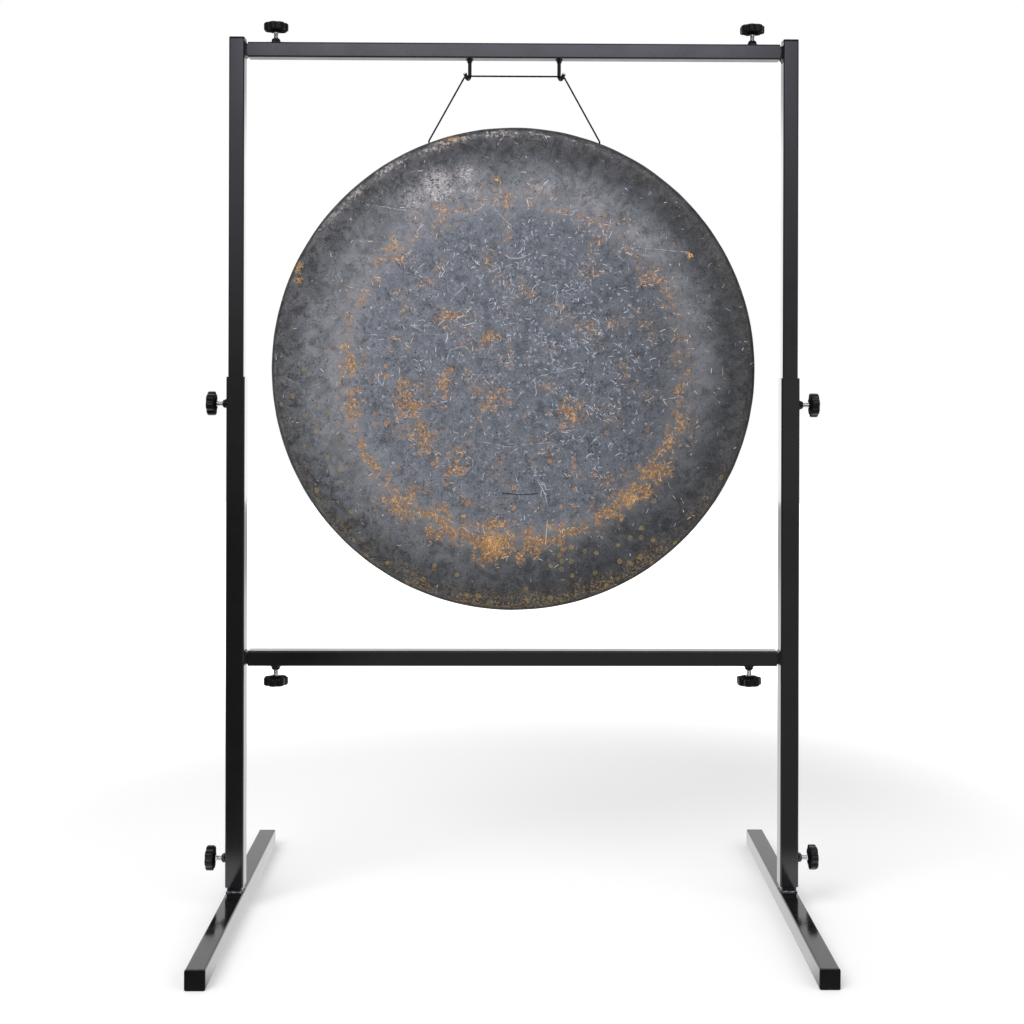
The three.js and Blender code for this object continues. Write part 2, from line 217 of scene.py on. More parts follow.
class Shape:
    """The points and faces of one mesh, gathered part by part."""

    def __init__(self):
        self.points = []
        self.faces = []
        self.finishes = []

    def add(self, points, faces):
        start = len(self.points)
        self.points.extend(points)
        for face in faces:
            self.faces.append([start + index for index in face])
            self.finishes.append(0)

    def loft(self, rings, closed=False, end_finish=0):
        """A skin over rings of equally many points, capped at both ends or closed on itself."""
        rows = len(rings)
        columns = len(rings[0])
        faces = quads(rows, columns, closed)
        if not closed:
            faces.append(list(reversed(range(columns))))
            faces.append([(rows - 1) * columns + index for index in range(columns)])
        self.add([point for ring in rings for point in ring], faces)
        self.finishes[-1] = end_finish

    def mesh(self, name, materials, sharp_degrees):
        mesh = bpy.data.meshes.new(name)
        mesh.from_pydata(self.points, [], self.faces)
        for material in materials:
            mesh.materials.append(material)
        mesh.polygons.foreach_set("material_index", self.finishes)
        work = bmesh.new()
        work.from_mesh(mesh)
        bmesh.ops.recalc_face_normals(work, faces=work.faces)
        work.to_mesh(mesh)
        work.free()
        smooth(mesh, sharp_degrees)
        return mesh


def smooth(mesh, sharp_degrees):
    mesh.shade_smooth()
    mesh.set_sharp_from_angle(angle=math.radians(sharp_degrees))


def link(name, data):
    """A new object in the scene."""
    item = bpy.data.objects.new(name, data)
    bpy.context.scene.collection.objects.link(item)
    return item


def make_piece(node, mesh, place, weighted=True):
    """One piece that stands for a CAD node, on the node's body."""
    piece = link(f"{node}_piece", mesh)
    piece.matrix_world = place
    if weighted:
        modifier = piece.modifiers.new("normals", "WEIGHTED_NORMAL")
        modifier.keep_sharp = True
    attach(piece, NODE_BODY[node])
    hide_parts(node)


def drill(radius, low, high, place, material):
    """A round cutter along the Z axis of a place."""
    hole = Shape()
    hole.loft([round_ring(radius, low, DRILL_SIDES), round_ring(radius, high, DRILL_SIDES)])
    cutter = hole.mesh("hole", [material], TUBE_SHARP)
    cutter.transform(place)
    return cutter


def cut(mesh, cutters, sharp_degrees):
    """The mesh with the cutters' solids taken out of it."""
    body = link("cut_body", mesh)
    tools = [link(f"cut_tool_{index}", cutter) for index, cutter in enumerate(cutters)]
    for tool in tools:
        modifier = body.modifiers.new("cut", "BOOLEAN")
        modifier.operation = "DIFFERENCE"
        modifier.solver = "EXACT"
        modifier.object = tool
    bpy.context.view_layer.update()
    graph = bpy.context.evaluated_depsgraph_get()
    result = bpy.data.meshes.new_from_object(body.evaluated_get(graph))
    result.name = mesh.name
    for leftover in [body, *tools]:
        bpy.data.objects.remove(leftover)
    smooth(result, sharp_degrees)
    return result


# Places: each turns +Z towards the named direction

TURNS = {
    "+X": Matrix.Rotation(QUARTER, 4, "Y"),
    "-X": Matrix.Rotation(-QUARTER, 4, "Y"),
    "+Y": Matrix.Rotation(-QUARTER, 4, "X"),
    "-Y": Matrix.Rotation(QUARTER, 4, "X"),
    "+Z": Matrix.Identity(4),
    "-Z": Matrix.Rotation(math.pi, 4, "X"),
}


def seat(node, toward):
    """The place at the near end of a node's box, with +Z running to the far end, and the length between."""
    low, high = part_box(node)
    turn = TURNS[toward]
    direction = turn @ UP
    reach = abs(direction.dot((high - low) / 2))
    return Matrix.Translation((low + high) / 2 - direction * reach) @ turn, 2 * reach


# Outlines, as points round the Z axis


def square_ring(size, corner, height):
    reach = size / 2 - corner
    ring = []
    for quarter, (across, up) in enumerate(((1, 1), (-1, 1), (-1, -1), (1, -1))):
        for step in range(CORNER_STEPS + 1):
            angle = QUARTER * (quarter + step / CORNER_STEPS)
            x = across * reach + corner * math.cos(angle)
            y = up * reach + corner * math.sin(angle)
            ring.append(Vector((x, y, height)))
    return ring


def turned_ring(radius_at, height, sides):
    """A ring whose radius depends on the angle."""
    ring = []
    for step in range(sides):
        angle = TURN * step / sides
        radius = radius_at(angle)
        ring.append(Vector((radius * math.cos(angle), radius * math.sin(angle), height)))
    return ring


def round_ring(radius, height, sides):
    return turned_ring(lambda angle: radius, height, sides)


def spaced(ring, spacing):
    """A closed outline with points added along its long sides."""
    points = []
    for point, after in zip(ring, ring[1:] + ring[:1]):
        steps = max(1, round((after - point).length / spacing))
        points.extend(point.lerp(after, step / steps) for step in range(steps))
    return points


def clamped(share):
    return min(1.0, max(0.0, share))


# Weld sections: how far out and how far up, as shares of the leg and the rise
HOLLOW_FILLET = (
    (-0.35, 0), (1, 0), (0.92, 0.12), (0.62, 0.3), (0.36, 0.55), (0.16, 0.82), (0, 1), (-0.35, 1),
)
FULL_FILLET = (
    (-0.3, 0), (1, 0), (0.99, 0.12), (0.88, 0.32), (0.7, 0.55), (0.45, 0.8), (0.15, 0.96), (-0.3, 1),
)


def weld_bead(shape, outline, leg, rise, ripple, sag=0.0, section=HOLLOW_FILLET):
    """A rippled fillet round the foot of whatever has this outline, which may sag towards -X."""
    rings = [[] for _ in section]
    along = 0.0
    for point, after in zip(outline, outline[1:] + outline[:1]):
        outward = Vector((after.y - point.y, point.x - after.x, 0)).normalized()
        uneven = noise.noise(point / (WELD_UNEVEN_RIPPLES * ripple))
        wave = 1 + WELD_RIPPLE_SHARE * math.sin(TURN * along / ripple) + WELD_UNEVEN_SHARE * uneven
        hang = 1 + sag * max(0.0, -outward.x) ** 3
        for ring, (out, up) in zip(rings, section):
            stretch = wave * hang if out > 0 else 1
            ring.append(point + outward * (out * leg * stretch) + UP * (up * rise * wave - SEAT_GAP))
        along += (after - point).length
    shape.loft(rings, closed=True)


# Frame pieces


def tube_shape(size, length):
    inner = size - 2 * TUBE_WALL
    inner_corner = TUBE_CORNER - TUBE_WALL
    trim = 2 * TUBE_CHAMFER
    shape = Shape()
    shape.loft([
        square_ring(size, TUBE_CORNER, TUBE_CHAMFER),
        square_ring(size, TUBE_CORNER, length - TUBE_CHAMFER),
        square_ring(size - trim, TUBE_CORNER - TUBE_CHAMFER, length),
        square_ring(inner + trim, inner_corner + TUBE_CHAMFER, length),
        square_ring(inner, inner_corner, length - TUBE_CHAMFER),
        square_ring(inner, inner_corner, TUBE_CHAMFER),
        square_ring(inner + trim, inner_corner + TUBE_CHAMFER, 0),
        square_ring(size - trim, TUBE_CORNER - TUBE_CHAMFER, 0),
    ], closed=True)
    return shape


def make_tube(node, toward, size, screw_side=None, screw_places=()):
    """A tube on its CAD node's axis, drilled for its clamp screws."""
    place, length = seat(node, toward)
    mesh = tube_shape(size, length).mesh(node, [POWDER_COAT], TUBE_SHARP)
    holes = []
    for point in screw_places:
        into = place.inverted() @ Matrix.Translation(point) @ TURNS[screw_side]
        holes.append(drill(BOLT_RADIUS + SEAT_GAP, -size / 4, size / 4, into, POWDER_COAT))
    if holes:
        mesh = cut(mesh, holes, TUBE_SHARP)
    make_piece(node, mesh, place)


def make_stub(node, toward, size, weld_rise, weld_sag=0.0):
    """A tube stub with its weld round its foot."""
    place, length = seat(node, toward)
    shape = tube_shape(size, length)
    outline = spaced(square_ring(size, TUBE_CORNER, 0), STUB_WELD_SPACING)
    weld_bead(shape, outline, STUB_WELD_LEG, weld_rise, STUB_WELD_RIPPLE, weld_sag)
    make_piece(node, shape.mesh(node, [POWDER_COAT], TUBE_SHARP), place)


def make_plug(node, toward, size):
    """An end plug, its insert behind its plate; the box's length is the insert's and the plate's."""
    place, length = seat(node, toward)
    insert = size - 2 * (TUBE_WALL + SEAT_GAP)
    hollow = insert - 2 * PLUG_WALL
    neck = length - PLUG_PLATE
    corner = TUBE_CORNER - TUBE_WALL
    flat = size - 2 * PLUG_ROUND
    rings = [
        square_ring(hollow, corner / 2, neck / 3),
        square_ring(hollow, corner / 2, 0),
        square_ring(insert - 2 * PLUG_TAPER, corner, 0),
        square_ring(insert, corner, PLUG_TAPER_LENGTH),
        square_ring(insert, corner, neck),
        square_ring(size - PLUG_ROUND / 3, TUBE_CORNER, neck),
    ]
    for step in range(PLUG_ROUND_STEPS + 1):
        angle = QUARTER * step / PLUG_ROUND_STEPS
        inset = PLUG_ROUND * (1 - math.cos(angle))
        height = length - PLUG_CROWN - PLUG_ROUND * (1 - math.sin(angle))
        rings.append(square_ring(size - 2 * inset, TUBE_CORNER - inset / 2, height))
    for share in (0.9, 0.75, 0.5, 0.2):
        rings.append(square_ring(flat * share, TUBE_CORNER * share / 2, length - PLUG_CROWN * share ** 2))
    shape = Shape()
    shape.loft(rings)
    make_piece(node, shape.mesh(node, [BLACK_PLASTIC], PLUG_SHARP), place)


# Clamp screw pieces


def hex_radius(angle):
    """How far a hexagon's side is from its middle at this angle."""
    sixth = TURN / 6
    return NUT_ACROSS_FLATS / 2 / math.cos((angle + sixth / 2) % sixth - sixth / 2)


def nut_mesh(height):
    """A hexagon nut with a chamfered top and the weld round its foot."""
    bore = BOLT_RADIUS + BOLT_CLEARANCE
    shoulder = turned_ring(hex_radius, height + NUT_TOP_RADIUS, NUT_SIDES)
    for point in shoulder:
        point.z -= point.xy.length
    shape = Shape()
    shape.loft([
        round_ring(bore, 0, NUT_SIDES),
        turned_ring(hex_radius, 0, NUT_SIDES),
        shoulder,
        round_ring(NUT_TOP_RADIUS, height, NUT_SIDES),
        round_ring(bore + NUT_BORE_CHAMFER, height, NUT_SIDES),
        round_ring(bore, height - NUT_BORE_CHAMFER, NUT_SIDES),
    ], closed=True)
    outline = round_ring(NUT_ACROSS_FLATS / 2, 0, NUT_WELD_SIDES)
    weld_bead(shape, outline, NUT_WELD_LEG, NUT_WELD_RISE, NUT_WELD_RIPPLE, section=FULL_FILLET)
    return shape.mesh("nut", [WELDED_NUT], NUT_SHARP)


def bolt_radius(height, angle):
    """How far the bolt's skin is from its axis, at its tip, its thread and the collar below its knob."""
    if COLLAR_LOW < height < COLLAR_HIGH:
        edge = min(height - COLLAR_LOW, COLLAR_HIGH - height)
        return COLLAR_RADIUS - max(0.0, COLLAR_CHAMFER - edge)
    shown = clamped(min(height - THREAD_START, THREAD_END - height) / THREAD_PITCH)
    phase = (height / THREAD_PITCH - angle / TURN) % 1
    groove = clamped(GROOVE_LEVEL - GROOVE_SLOPE * abs(phase - 0.5))
    return BOLT_RADIUS - THREAD_DEPTH * groove * shown - max(0.0, BOLT_TIP_CHAMFER - height)


def bolt_mesh(length):
    """A threaded bolt from its tip up."""
    rows = round(length / THREAD_PITCH * THREAD_ROWS)
    rings = []
    for row in range(rows + 1):
        height = length * row / rows
        rings.append(turned_ring(lambda angle: bolt_radius(height, angle), height, BOLT_SIDES))
    shape = Shape()
    shape.loft(rings)
    return shape.mesh("bolt", [ZINC_PLATE], FINE_SHARP)


def knob_radius(radius, lobe_share, angle):
    """How far the knob's skin is from its axis, less in the valleys between its lobes."""
    valley = (1 - math.cos(KNOB_LOBES * angle)) / 2
    return radius * MM - KNOB_LOBE_DEPTH * lobe_share * valley ** 2


def knob_mesh():
    """A star knob from the foot of its hub up, with a domed top."""
    bore = (BOLT_RADIUS + BOLT_CLEARANCE) / MM
    # Radius and height in millimetres, then how much of the lobes shows
    profile = [
        (bore, 10.4, 0), (bore, 0.4, 0), (4.6, 0, 0), (7.9, 0, 0), (8.3, 0.12, 0), (8.5, 0.4, 0),
        (8.7, 0.9, 0), (9.2, 1.4, 0), (10, 1.75, 0), (11.5, 1.95, 0.02), (15, 2, 0.4), (18.2, 2, 0.95),
        (19.2, 2.1, 1), (19.75, 2.5, 1), (20, 3.2, 1), (20, 6, 1), (20, 9.5, 1), (20, 11.5, 1),
        (19.85, 12.3, 1), (19.45, 13.05, 1), (18.75, 13.75, 0.98), (17.7, 14.35, 0.92), (16.3, 14.75, 0.8),
        (14.4, 15.05, 0.58), (12.6, 15.2, 0.3), (11.2, 15.27, 0.1), (9.9, 15.3, 0), (9.4, 15.3, 0),
        (9.1, 15.1, 0), (8.9, 14.9, 0), (8.5, 14.9, 0), (8.3, 15.1, 0), (7.9, 15.25, 0), (5, 15.3, 0),
        (2, 15.3, 0),
    ]
    sides = KNOB_LOBES * KNOB_LOBE_SIDES
    rings = []
    for radius, rise, lobe_share in profile:
        rings.append(turned_ring(lambda angle: knob_radius(radius, lobe_share, angle), rise * MM, sides))
    shape = Shape()
    shape.loft(rings)
    underside = KNOB_UNDERSIDE_ROWS * sides
    shape.finishes[:underside] = [1] * underside
    return shape.mesh("knob", [BLACK_PLASTIC, ROUGH_PLASTIC], KNOB_SHARP)


def make_screws():
    """The eight clamp screws: three meshes that they share, each set on its own screw's axis."""
    screws = {}
    for side, outward in (("left", "-X"), ("right", "+X")):
        screws[f"{side}_foot"] = outward
        screws[f"{side}_height"] = outward
        screws[f"{side}_lower_bar"] = "-Z"
        screws[f"{side}_top_bar"] = "+Z"
    nut = nut_mesh(seat("left_foot_nut", "-X")[1])
    bolt = bolt_mesh(seat("left_foot_bolt", "-X")[1])
    knob = knob_mesh()
    for screw, toward in screws.items():
        axis = TURNS[toward] @ UP
        middle = seat(f"{screw}_bolt", toward)[0].translation
        make_piece(f"{screw}_nut", nut, seat(f"{screw}_nut", toward)[0])

        # The box of a knob with seven lobes isn't centred on its axis, so its bolt says where that is
        for part, mesh in (("bolt", bolt), ("knob", knob)):
            place = seat(f"{screw}_{part}", toward)[0]
            place.translation = middle + axis * axis.dot(place.translation - middle)
            make_piece(f"{screw}_{part}", mesh, place)


# Rods and cords


def carry_frames(points):
    """At each point of a route, two directions across it that turn as little as they can."""
    frames = []
    across = None
    for index, point in enumerate(points):
        before = points[max(index - 1, 0)]
        after = points[min(index + 1, len(points) - 1)]
        along = (after - before).normalized()
        if across is None:
            across = along.orthogonal().normalized()
        across = (across - along * across.dot(along)).normalized()
        frames.append((point, across, along.cross(across)))
    return frames


def round_about(place, angle, reach):
    """The point beside a route's place at this angle and reach."""
    point, across, up = place
    return point + (across * math.cos(angle) + up * math.sin(angle)) * reach


def rod(shape, points, radius, sides, chamfer=0.0, end_finish=0):
    """A round rod along a route, its far end chamfered and finished on its own."""
    radii = [radius] * (len(points) - 1) + [radius - chamfer]
    rings = []
    for place, reach in zip(carry_frames(points), radii):
        rings.append([round_about(place, TURN * step / sides, reach) for step in range(sides)])
    shape.loft(rings, end_finish=end_finish)


def make_hook(side_name, side):
    """A bent rod under the top crossbar that opens outward and to the front, with its weld round its top."""
    points = [UP * (-HOOK_SHANK * step / HOOK_SHANK_STEPS) for step in range(HOOK_SHANK_STEPS)]
    for step in range(HOOK_BEND_STEPS + 1):
        angle = HOOK_BEND * step / HOOK_BEND_STEPS
        out = HOOK_BEND_RADIUS * (1 - math.cos(angle))
        points.append(Vector((out, 0, -HOOK_SHANK - HOOK_BEND_RADIUS * math.sin(angle))))
    along = Vector((math.sin(HOOK_BEND), 0, -math.cos(HOOK_BEND)))
    end = points[-1]
    for reach in (0.35 * HOOK_TIP, 0.7 * HOOK_TIP, HOOK_TIP - HOOK_CHAMFER, HOOK_TIP):
        points.append(end + along * reach)
    shape = Shape()
    rod(shape, points, HOOK_RADIUS, HOOK_SIDES, HOOK_CHAMFER, end_finish=1)
    bead = Shape()
    outline = round_ring(HOOK_RADIUS, 0, HOOK_WELD_SIDES)
    weld_bead(bead, outline, HOOK_WELD_RADIUS - HOOK_RADIUS, HOOK_WELD_HEIGHT, HOOK_WELD_RIPPLE)
    shape.add([TURNS["-Z"] @ point for point in bead.points], bead.faces)
    node = f"{side_name}_hook"
    turn = HOOK_TURN - math.pi if side < 0 else -HOOK_TURN
    place = Matrix.Translation((side * HOOK_SPACING / 2, 0, HOOK_TOP)) @ Matrix.Rotation(turn, 4, "Z")
    make_piece(node, shape.mesh(node, [WELDED_NUT, BARE_STEEL], TUBE_SHARP), place)


def rounded_route(corners, cuts, spacing):
    """Points at even spacing along a route through the corners, each inner corner rounded over its cut."""
    route = [corners[0]]
    for before, corner, after, reach in zip(corners, corners[1:], corners[2:], cuts):
        start = corner + (before - corner).normalized() * reach
        end = corner + (after - corner).normalized() * reach
        for step in range(CORD_CUT_STEPS + 1):
            share = step / CORD_CUT_STEPS
            route.append(start.lerp(corner, share).lerp(corner.lerp(end, share), share))
    route.append(corners[-1])
    points = [route[0]]
    rest = spacing
    for start, end in zip(route, route[1:]):
        length = (end - start).length
        place = rest
        while place < length:
            points.append(start.lerp(end, place / length))
            place += spacing
        rest = place - length
    points.append(route[-1])
    return points


def cord_end(side):
    """Half of the cord's route: its knot, its place above the rim's hole and its bend over the hook, and the
    direction out of the rim."""
    wall_reach = GONG_RIM_TAPER * (CORD_HOLE_DEPTH - GONG_EDGE_RADIUS) / (GONG_RIM_DEPTH - GONG_EDGE_RADIUS)
    knot_depth = wall_reach + GONG_WALL + SEAT_GAP + KNOT_RADIUS
    hole = Vector((side * CORD_HOLE_SPACING / 2, CORD_Y, HOLE_HEIGHT))
    outward = Vector((side * math.sin(HOLE_ANGLE), 0, math.cos(HOLE_ANGLE)))
    outward.rotate(Matrix.Rotation(GONG_LEAN, 3, "X"))
    bend = Vector((side * (SADDLE_X + CORD_BEND_OUT), CORD_Y, CORD_HEIGHT))
    return hole - outward * knot_depth, hole + outward * CORD_HOLE_RISE, bend, outward


def knot_loop(middle, outward):
    """A trefoil that closes on itself round the knot's middle."""
    turn = outward.to_track_quat("Z", "Y").to_matrix()
    scale = (KNOT_RADIUS - CORD_RADIUS) / 3
    loop = []
    for step in range(KNOT_STEPS):
        angle = TURN * step / KNOT_STEPS
        x = math.sin(angle) + 2 * math.sin(2 * angle)
        y = math.cos(angle) - 2 * math.cos(2 * angle)
        loop.append(middle + turn @ (Vector((x, y, -KNOT_DEPTH_SHARE * math.sin(3 * angle))) * scale))
    return [*loop, loop[0].copy()]


def make_cord():
    """The laid cord over both hooks and through the rim, with a stopper knot behind each hole."""
    left = cord_end(-1)
    right = cord_end(1)
    cuts = [CORD_HOLE_CUT, CORD_BEND_CUT, CORD_BEND_CUT, CORD_HOLE_CUT]
    frames = carry_frames(rounded_route([*left[:3], *right[2::-1]], cuts, CORD_STEP))
    shape = Shape()
    for strand in range(STRANDS):
        twisted = []
        for index, place in enumerate(frames):
            angle = TURN * (strand / STRANDS + index * CORD_STEP / STRAND_PITCH)
            twisted.append(round_about(place, angle, CORD_RADIUS - STRAND_RADIUS))
        rod(shape, twisted, STRAND_RADIUS, STRAND_SIDES)
    for knot, _, _, outward in (left, right):
        rod(shape, knot_loop(knot, outward), CORD_RADIUS, CORD_SIDES)
        tail = [knot - outward * KNOT_RADIUS * share for share in (0.2, 0.6, 0.95)]
        rod(shape, tail, CORD_RADIUS, CORD_SIDES)
    mesh = shape.mesh("gong_cord", [CORD_FIBRE], FINE_SHARP)
    make_piece("gong_cord", mesh, Matrix.Identity(4), weighted=False)


# Gong


def gong_depth(radius):
    """How far behind the edge's front the face is: a shallow dome that turns into a steeper cone."""
    flat = GONG_FLAT_SHARE * GONG_RADIUS
    blend = GONG_BLEND_SHARE * GONG_RADIUS
    low = GONG_DOME * GONG_FLAT_RISE_SHARE
    inner = -GONG_DOME + (GONG_DOME - low) * (radius / flat) ** 2
    outer = -low + low * (radius - flat) / (GONG_RADIUS - GONG_EDGE_RADIUS - flat)
    share = clamped((radius - flat + blend) / (2 * blend))
    share = share * share * (3 - 2 * share)
    return inner + (outer - inner) * share


def gong_profile():
    """The outer skin from the middle to the lip: radius, depth and the direction across the sheet."""
    edge_middle = GONG_RADIUS - GONG_EDGE_RADIUS
    profile = []
    for row in range(1, GONG_FACE_ROWS):
        radius = edge_middle / GONG_FACE_ROWS * row
        tilt = (gong_depth(radius + MM) - gong_depth(radius - MM)) / (2 * MM)
        profile.append((radius, gong_depth(radius), Vector((-tilt, 1)).normalized()))
    for row in range(GONG_EDGE_ROWS + 1):
        angle = QUARTER * row / GONG_EDGE_ROWS
        radius = edge_middle + GONG_EDGE_RADIUS * math.sin(angle)
        inward = Vector((-math.sin(angle), math.cos(angle)))
        profile.append((radius, GONG_EDGE_RADIUS * (1 - math.cos(angle)), inward))
    for row in range(1, GONG_RIM_ROWS + 1):
        share = row / GONG_RIM_ROWS
        back = GONG_EDGE_RADIUS + (GONG_RIM_DEPTH - GONG_EDGE_RADIUS) * share
        profile.append((GONG_RADIUS - GONG_RIM_TAPER * share, back, Vector((-1, 0))))
    return profile


def hammered(x, z):
    """How far the hammer has pushed the sheet in at a place on the face."""
    place = Vector((x, z, 0))
    broad = noise.noise(place / HAMMER_SIZE + HAMMER_START)
    fine = noise.noise(place / PEEN_SIZE + PEEN_START)
    return HAMMER_DEPTH * broad + PEEN_DEPTH * fine


def gong_skin(profile, inset):
    """The rings of one side of the sheet, from the middle out."""
    rings = []
    for radius, depth, inward in profile:
        ring = []
        for step in range(GONG_SIDES):
            angle = TURN * step / GONG_SIDES
            push = inset + hammered(radius * math.cos(angle), radius * math.sin(angle))
            reach = radius + inward.x * push
            ring.append(Vector((reach * math.cos(angle), depth + inward.y * push, reach * math.sin(angle))))
        rings.append(ring)
    return rings


def make_gong():
    """The gong's sheet with its turned-back rim and rounded lip, drilled for the cord and hung leaning."""
    profile = gong_profile()
    outer = gong_skin(profile, 0)
    inner = gong_skin(profile, GONG_WALL)
    lip = []
    for share in (0.15, 0.5, 0.85):
        push = Vector((0, GONG_LIP_BULGE * math.sin(math.pi * share), 0))
        lip.append([front.lerp(back, share) + push for front, back in zip(outer[-1], inner[-1])])
    rows = outer + lip + inner[::-1]
    points = [point for ring in rows for point in ring]
    faces = quads(len(rows), GONG_SIDES)
    for row, inset in ((0, 0), (len(rows) - 1, GONG_WALL)):
        points.append(Vector((0, -GONG_DOME + inset + hammered(0, 0), 0)))
        start = row * GONG_SIDES
        for column in range(GONG_SIDES):
            faces.append([start + column, start + (column + 1) % GONG_SIDES, len(points) - 1])
    shape = Shape()
    shape.add(points, faces)
    holes = []
    for side in (-1, 1):
        into = Matrix.Translation((0, CORD_HOLE_DEPTH, 0)) @ Matrix.Rotation(side * HOLE_ANGLE, 4, "Y")
        low = GONG_RADIUS - GONG_EDGE_RADIUS
        holes.append(drill(CORD_HOLE_RADIUS, low, low + 2 * GONG_EDGE_RADIUS, into, GONG_BRONZE))
    mesh = cut(shape.mesh("gong", [GONG_BRONZE], FINE_SHARP), holes, FINE_SHARP)
    place = (
        Matrix.Translation((0, CORD_Y, HOLE_HEIGHT))
        @ Matrix.Rotation(GONG_LEAN, 4, "X")
        @ Matrix.Translation((0, -CORD_HOLE_DEPTH, -HOLE_DROP))
    )
    make_piece("gong", mesh, place, weighted=False)


# Materials


class Value:
    """One output of a node, with Python's operators for the maths on it."""

    def __init__(self, graph, socket):
        self.graph = graph
        self.socket = socket
        self.is_number = socket.type == "VALUE"

    def maths(self, operation, first, second=None, output=0):
        kind = "ShaderNodeMath" if self.is_number else "ShaderNodeVectorMath"
        return self.graph.value(kind, {0: first, 1: second}, output, operation=operation)

    def __add__(self, other):
        return self.maths("ADD", self, other)

    def __sub__(self, other):
        return self.maths("SUBTRACT", self, other)

    def __rsub__(self, other):
        return self.maths("SUBTRACT", other, self)

    def __mul__(self, other):
        return self.maths("MULTIPLY", self, other)

    def __truediv__(self, other):
        return self.maths("DIVIDE", self, other)

    def __lt__(self, other):
        return self.maths("LESS_THAN", self, other)

    def __gt__(self, other):
        return self.maths("GREATER_THAN", self, other)

    def __abs__(self):
        return self.maths("ABSOLUTE", self)

    def larger(self, other):
        return self.maths("MAXIMUM", self, other)

    def fraction(self):
        return self.maths("FRACT", self)

    def length(self):
        return self.maths("LENGTH", self, output="Value")

    def dot(self, other):
        return self.maths("DOT_PRODUCT", self, other, output="Value")

    def normalized(self):
        return self.maths("NORMALIZE", self)

    def split(self):
        parts = self.graph.node("ShaderNodeSeparateXYZ", {0: self}).outputs
        return [Value(self.graph, part) for part in parts]

    def ease(self, low, high, to_low=0.0, to_high=1.0, interpolation="SMOOTHSTEP"):
        """This value's smooth way from one level to another, and level beyond them."""
        inputs = {"Value": self, "From Min": low, "From Max": high, "To Min": to_low, "To Max": to_high}
        return self.graph.value("ShaderNodeMapRange", inputs, interpolation_type=interpolation)

    def between(self, first, second):
        """From the first number or colour to the second, by this share."""
        if isinstance(second, float) or isinstance(second, Value) and second.is_number:
            return self.graph.value("ShaderNodeMix", {0: self, 2: first, 3: second}, data_type="FLOAT")
        return self.graph.value("ShaderNodeMix", {0: self, 6: first, 7: second}, 2, data_type="RGBA")

    def noise(self, size, detail=2.0, roughness=0.5, distortion=0.0, flat=False, output="Fac"):
        inputs = {
            "Vector": self,
            "Scale": 1 / size,
            "Detail": detail,
            "Roughness": roughness,
            "Distortion": distortion,
        }
        dimensions = "2D" if flat else "3D"
        return self.graph.value("ShaderNodeTexNoise", inputs, output, noise_dimensions=dimensions)

    def cells(self, size, flat=False):
        """How far the nearest of some random points is, its own random colour and its place."""
        inputs = {"Vector": self, "Scale": 1 / size}
        dimensions = "2D" if flat else "3D"
        outputs = self.graph.node("ShaderNodeTexVoronoi", inputs, voronoi_dimensions=dimensions).outputs
        return [Value(self.graph, outputs[name]) for name in ("Distance", "Color", "Position")]

    def bump(self, depth):
        return self.graph.value("ShaderNodeBump", {"Height": self, "Distance": depth, "Strength": 1.0})

    __radd__ = __add__
    __rmul__ = __mul__


class Graph:
    """The nodes of one material or world."""

    def __init__(self, tree):
        self.tree = tree
        tree.nodes.clear()

    def node(self, kind, inputs=None, **settings):
        node = self.tree.nodes.new(kind)
        for name, setting in settings.items():
            setattr(node, name, setting)
        for name, value in (inputs or {}).items():
            if isinstance(value, Value):
                self.tree.links.new(value.socket, node.inputs[name])
            elif value is not None:
                node.inputs[name].default_value = value
        return node

    def value(self, kind, inputs=None, output=0, **settings):
        return Value(self, self.node(kind, inputs, **settings).outputs[output])

    def join(self, x, y, z):
        return self.value("ShaderNodeCombineXYZ", {0: x, 1: y, 2: z})

    def ray(self, kind):
        """1 for light paths of this kind, 0 for others."""
        return self.value("ShaderNodeLightPath", output=f"Is {kind} Ray")

    def glow(self, strength):
        return self.value("ShaderNodeEmission", {"Color": grey(1.0), "Strength": strength})

    def surface(self, **inputs):
        named = {}
        for name, value in inputs.items():
            named[name.replace("_", " ").title().replace("Ior", "IOR")] = value
        self.node("ShaderNodeOutputMaterial", {"Surface": self.value("ShaderNodeBsdfPrincipled", named)})


def new_material(draw):
    """A material that a function draws, named after the function."""
    material = bpy.data.materials.new(draw.__name__)
    material.use_nodes = True
    draw(Graph(material.node_tree))
    return material


def grey(level, tint=(1.0, 1.0, 1.0)):
    return (level * tint[0], level * tint[1], level * tint[2], 1.0)


def object_place(graph):
    """Object coordinates, moved by the piece's own random number so that no two pieces match."""
    shift = graph.value("ShaderNodeObjectInfo", output="Random")
    return graph.value("ShaderNodeTexCoord", output="Object") + graph.join(shift, shift * 7.3, shift * 3.1)


def powder_coat(graph):
    """Gloss black powder coat with a faint orange peel and a little dust."""
    place = object_place(graph)
    broad = place.noise(60 * MM, 3, 0.55)
    dust = place.noise(0.9 * MM, 1).ease(0.76, 0.82, 0.0, 0.12)
    base = broad.between(grey(0.006, (1, 1, 1.08)), grey(0.01, (1, 1, 1.06)))
    graph.surface(
        base_color=dust.between(base, grey(0.06)),
        roughness=broad.ease(0.35, 0.7, 0.09, 0.14) + place.noise(4 * MM, 3, 0.6).ease(0.5, 0.75, 0.0, 0.04),
        ior=1.52,
        normal=place.noise(2.6 * MM).bump(0.006 * MM),
    )


def welded_nut(graph):
    """The same coat over a nut, a hook and their welds, where it is thinner and rougher."""
    place = object_place(graph)
    broad = place.noise(5 * MM, 3, 0.6)
    graph.surface(
        base_color=broad.between(grey(0.003), grey(0.009)),
        roughness=broad.ease(0.3, 0.7, 0.16, 0.32),
        ior=1.35,
        normal=(place.noise(1.6 * MM, 3, 0.6) + broad * 0.5).bump(0.09 * MM),
    )


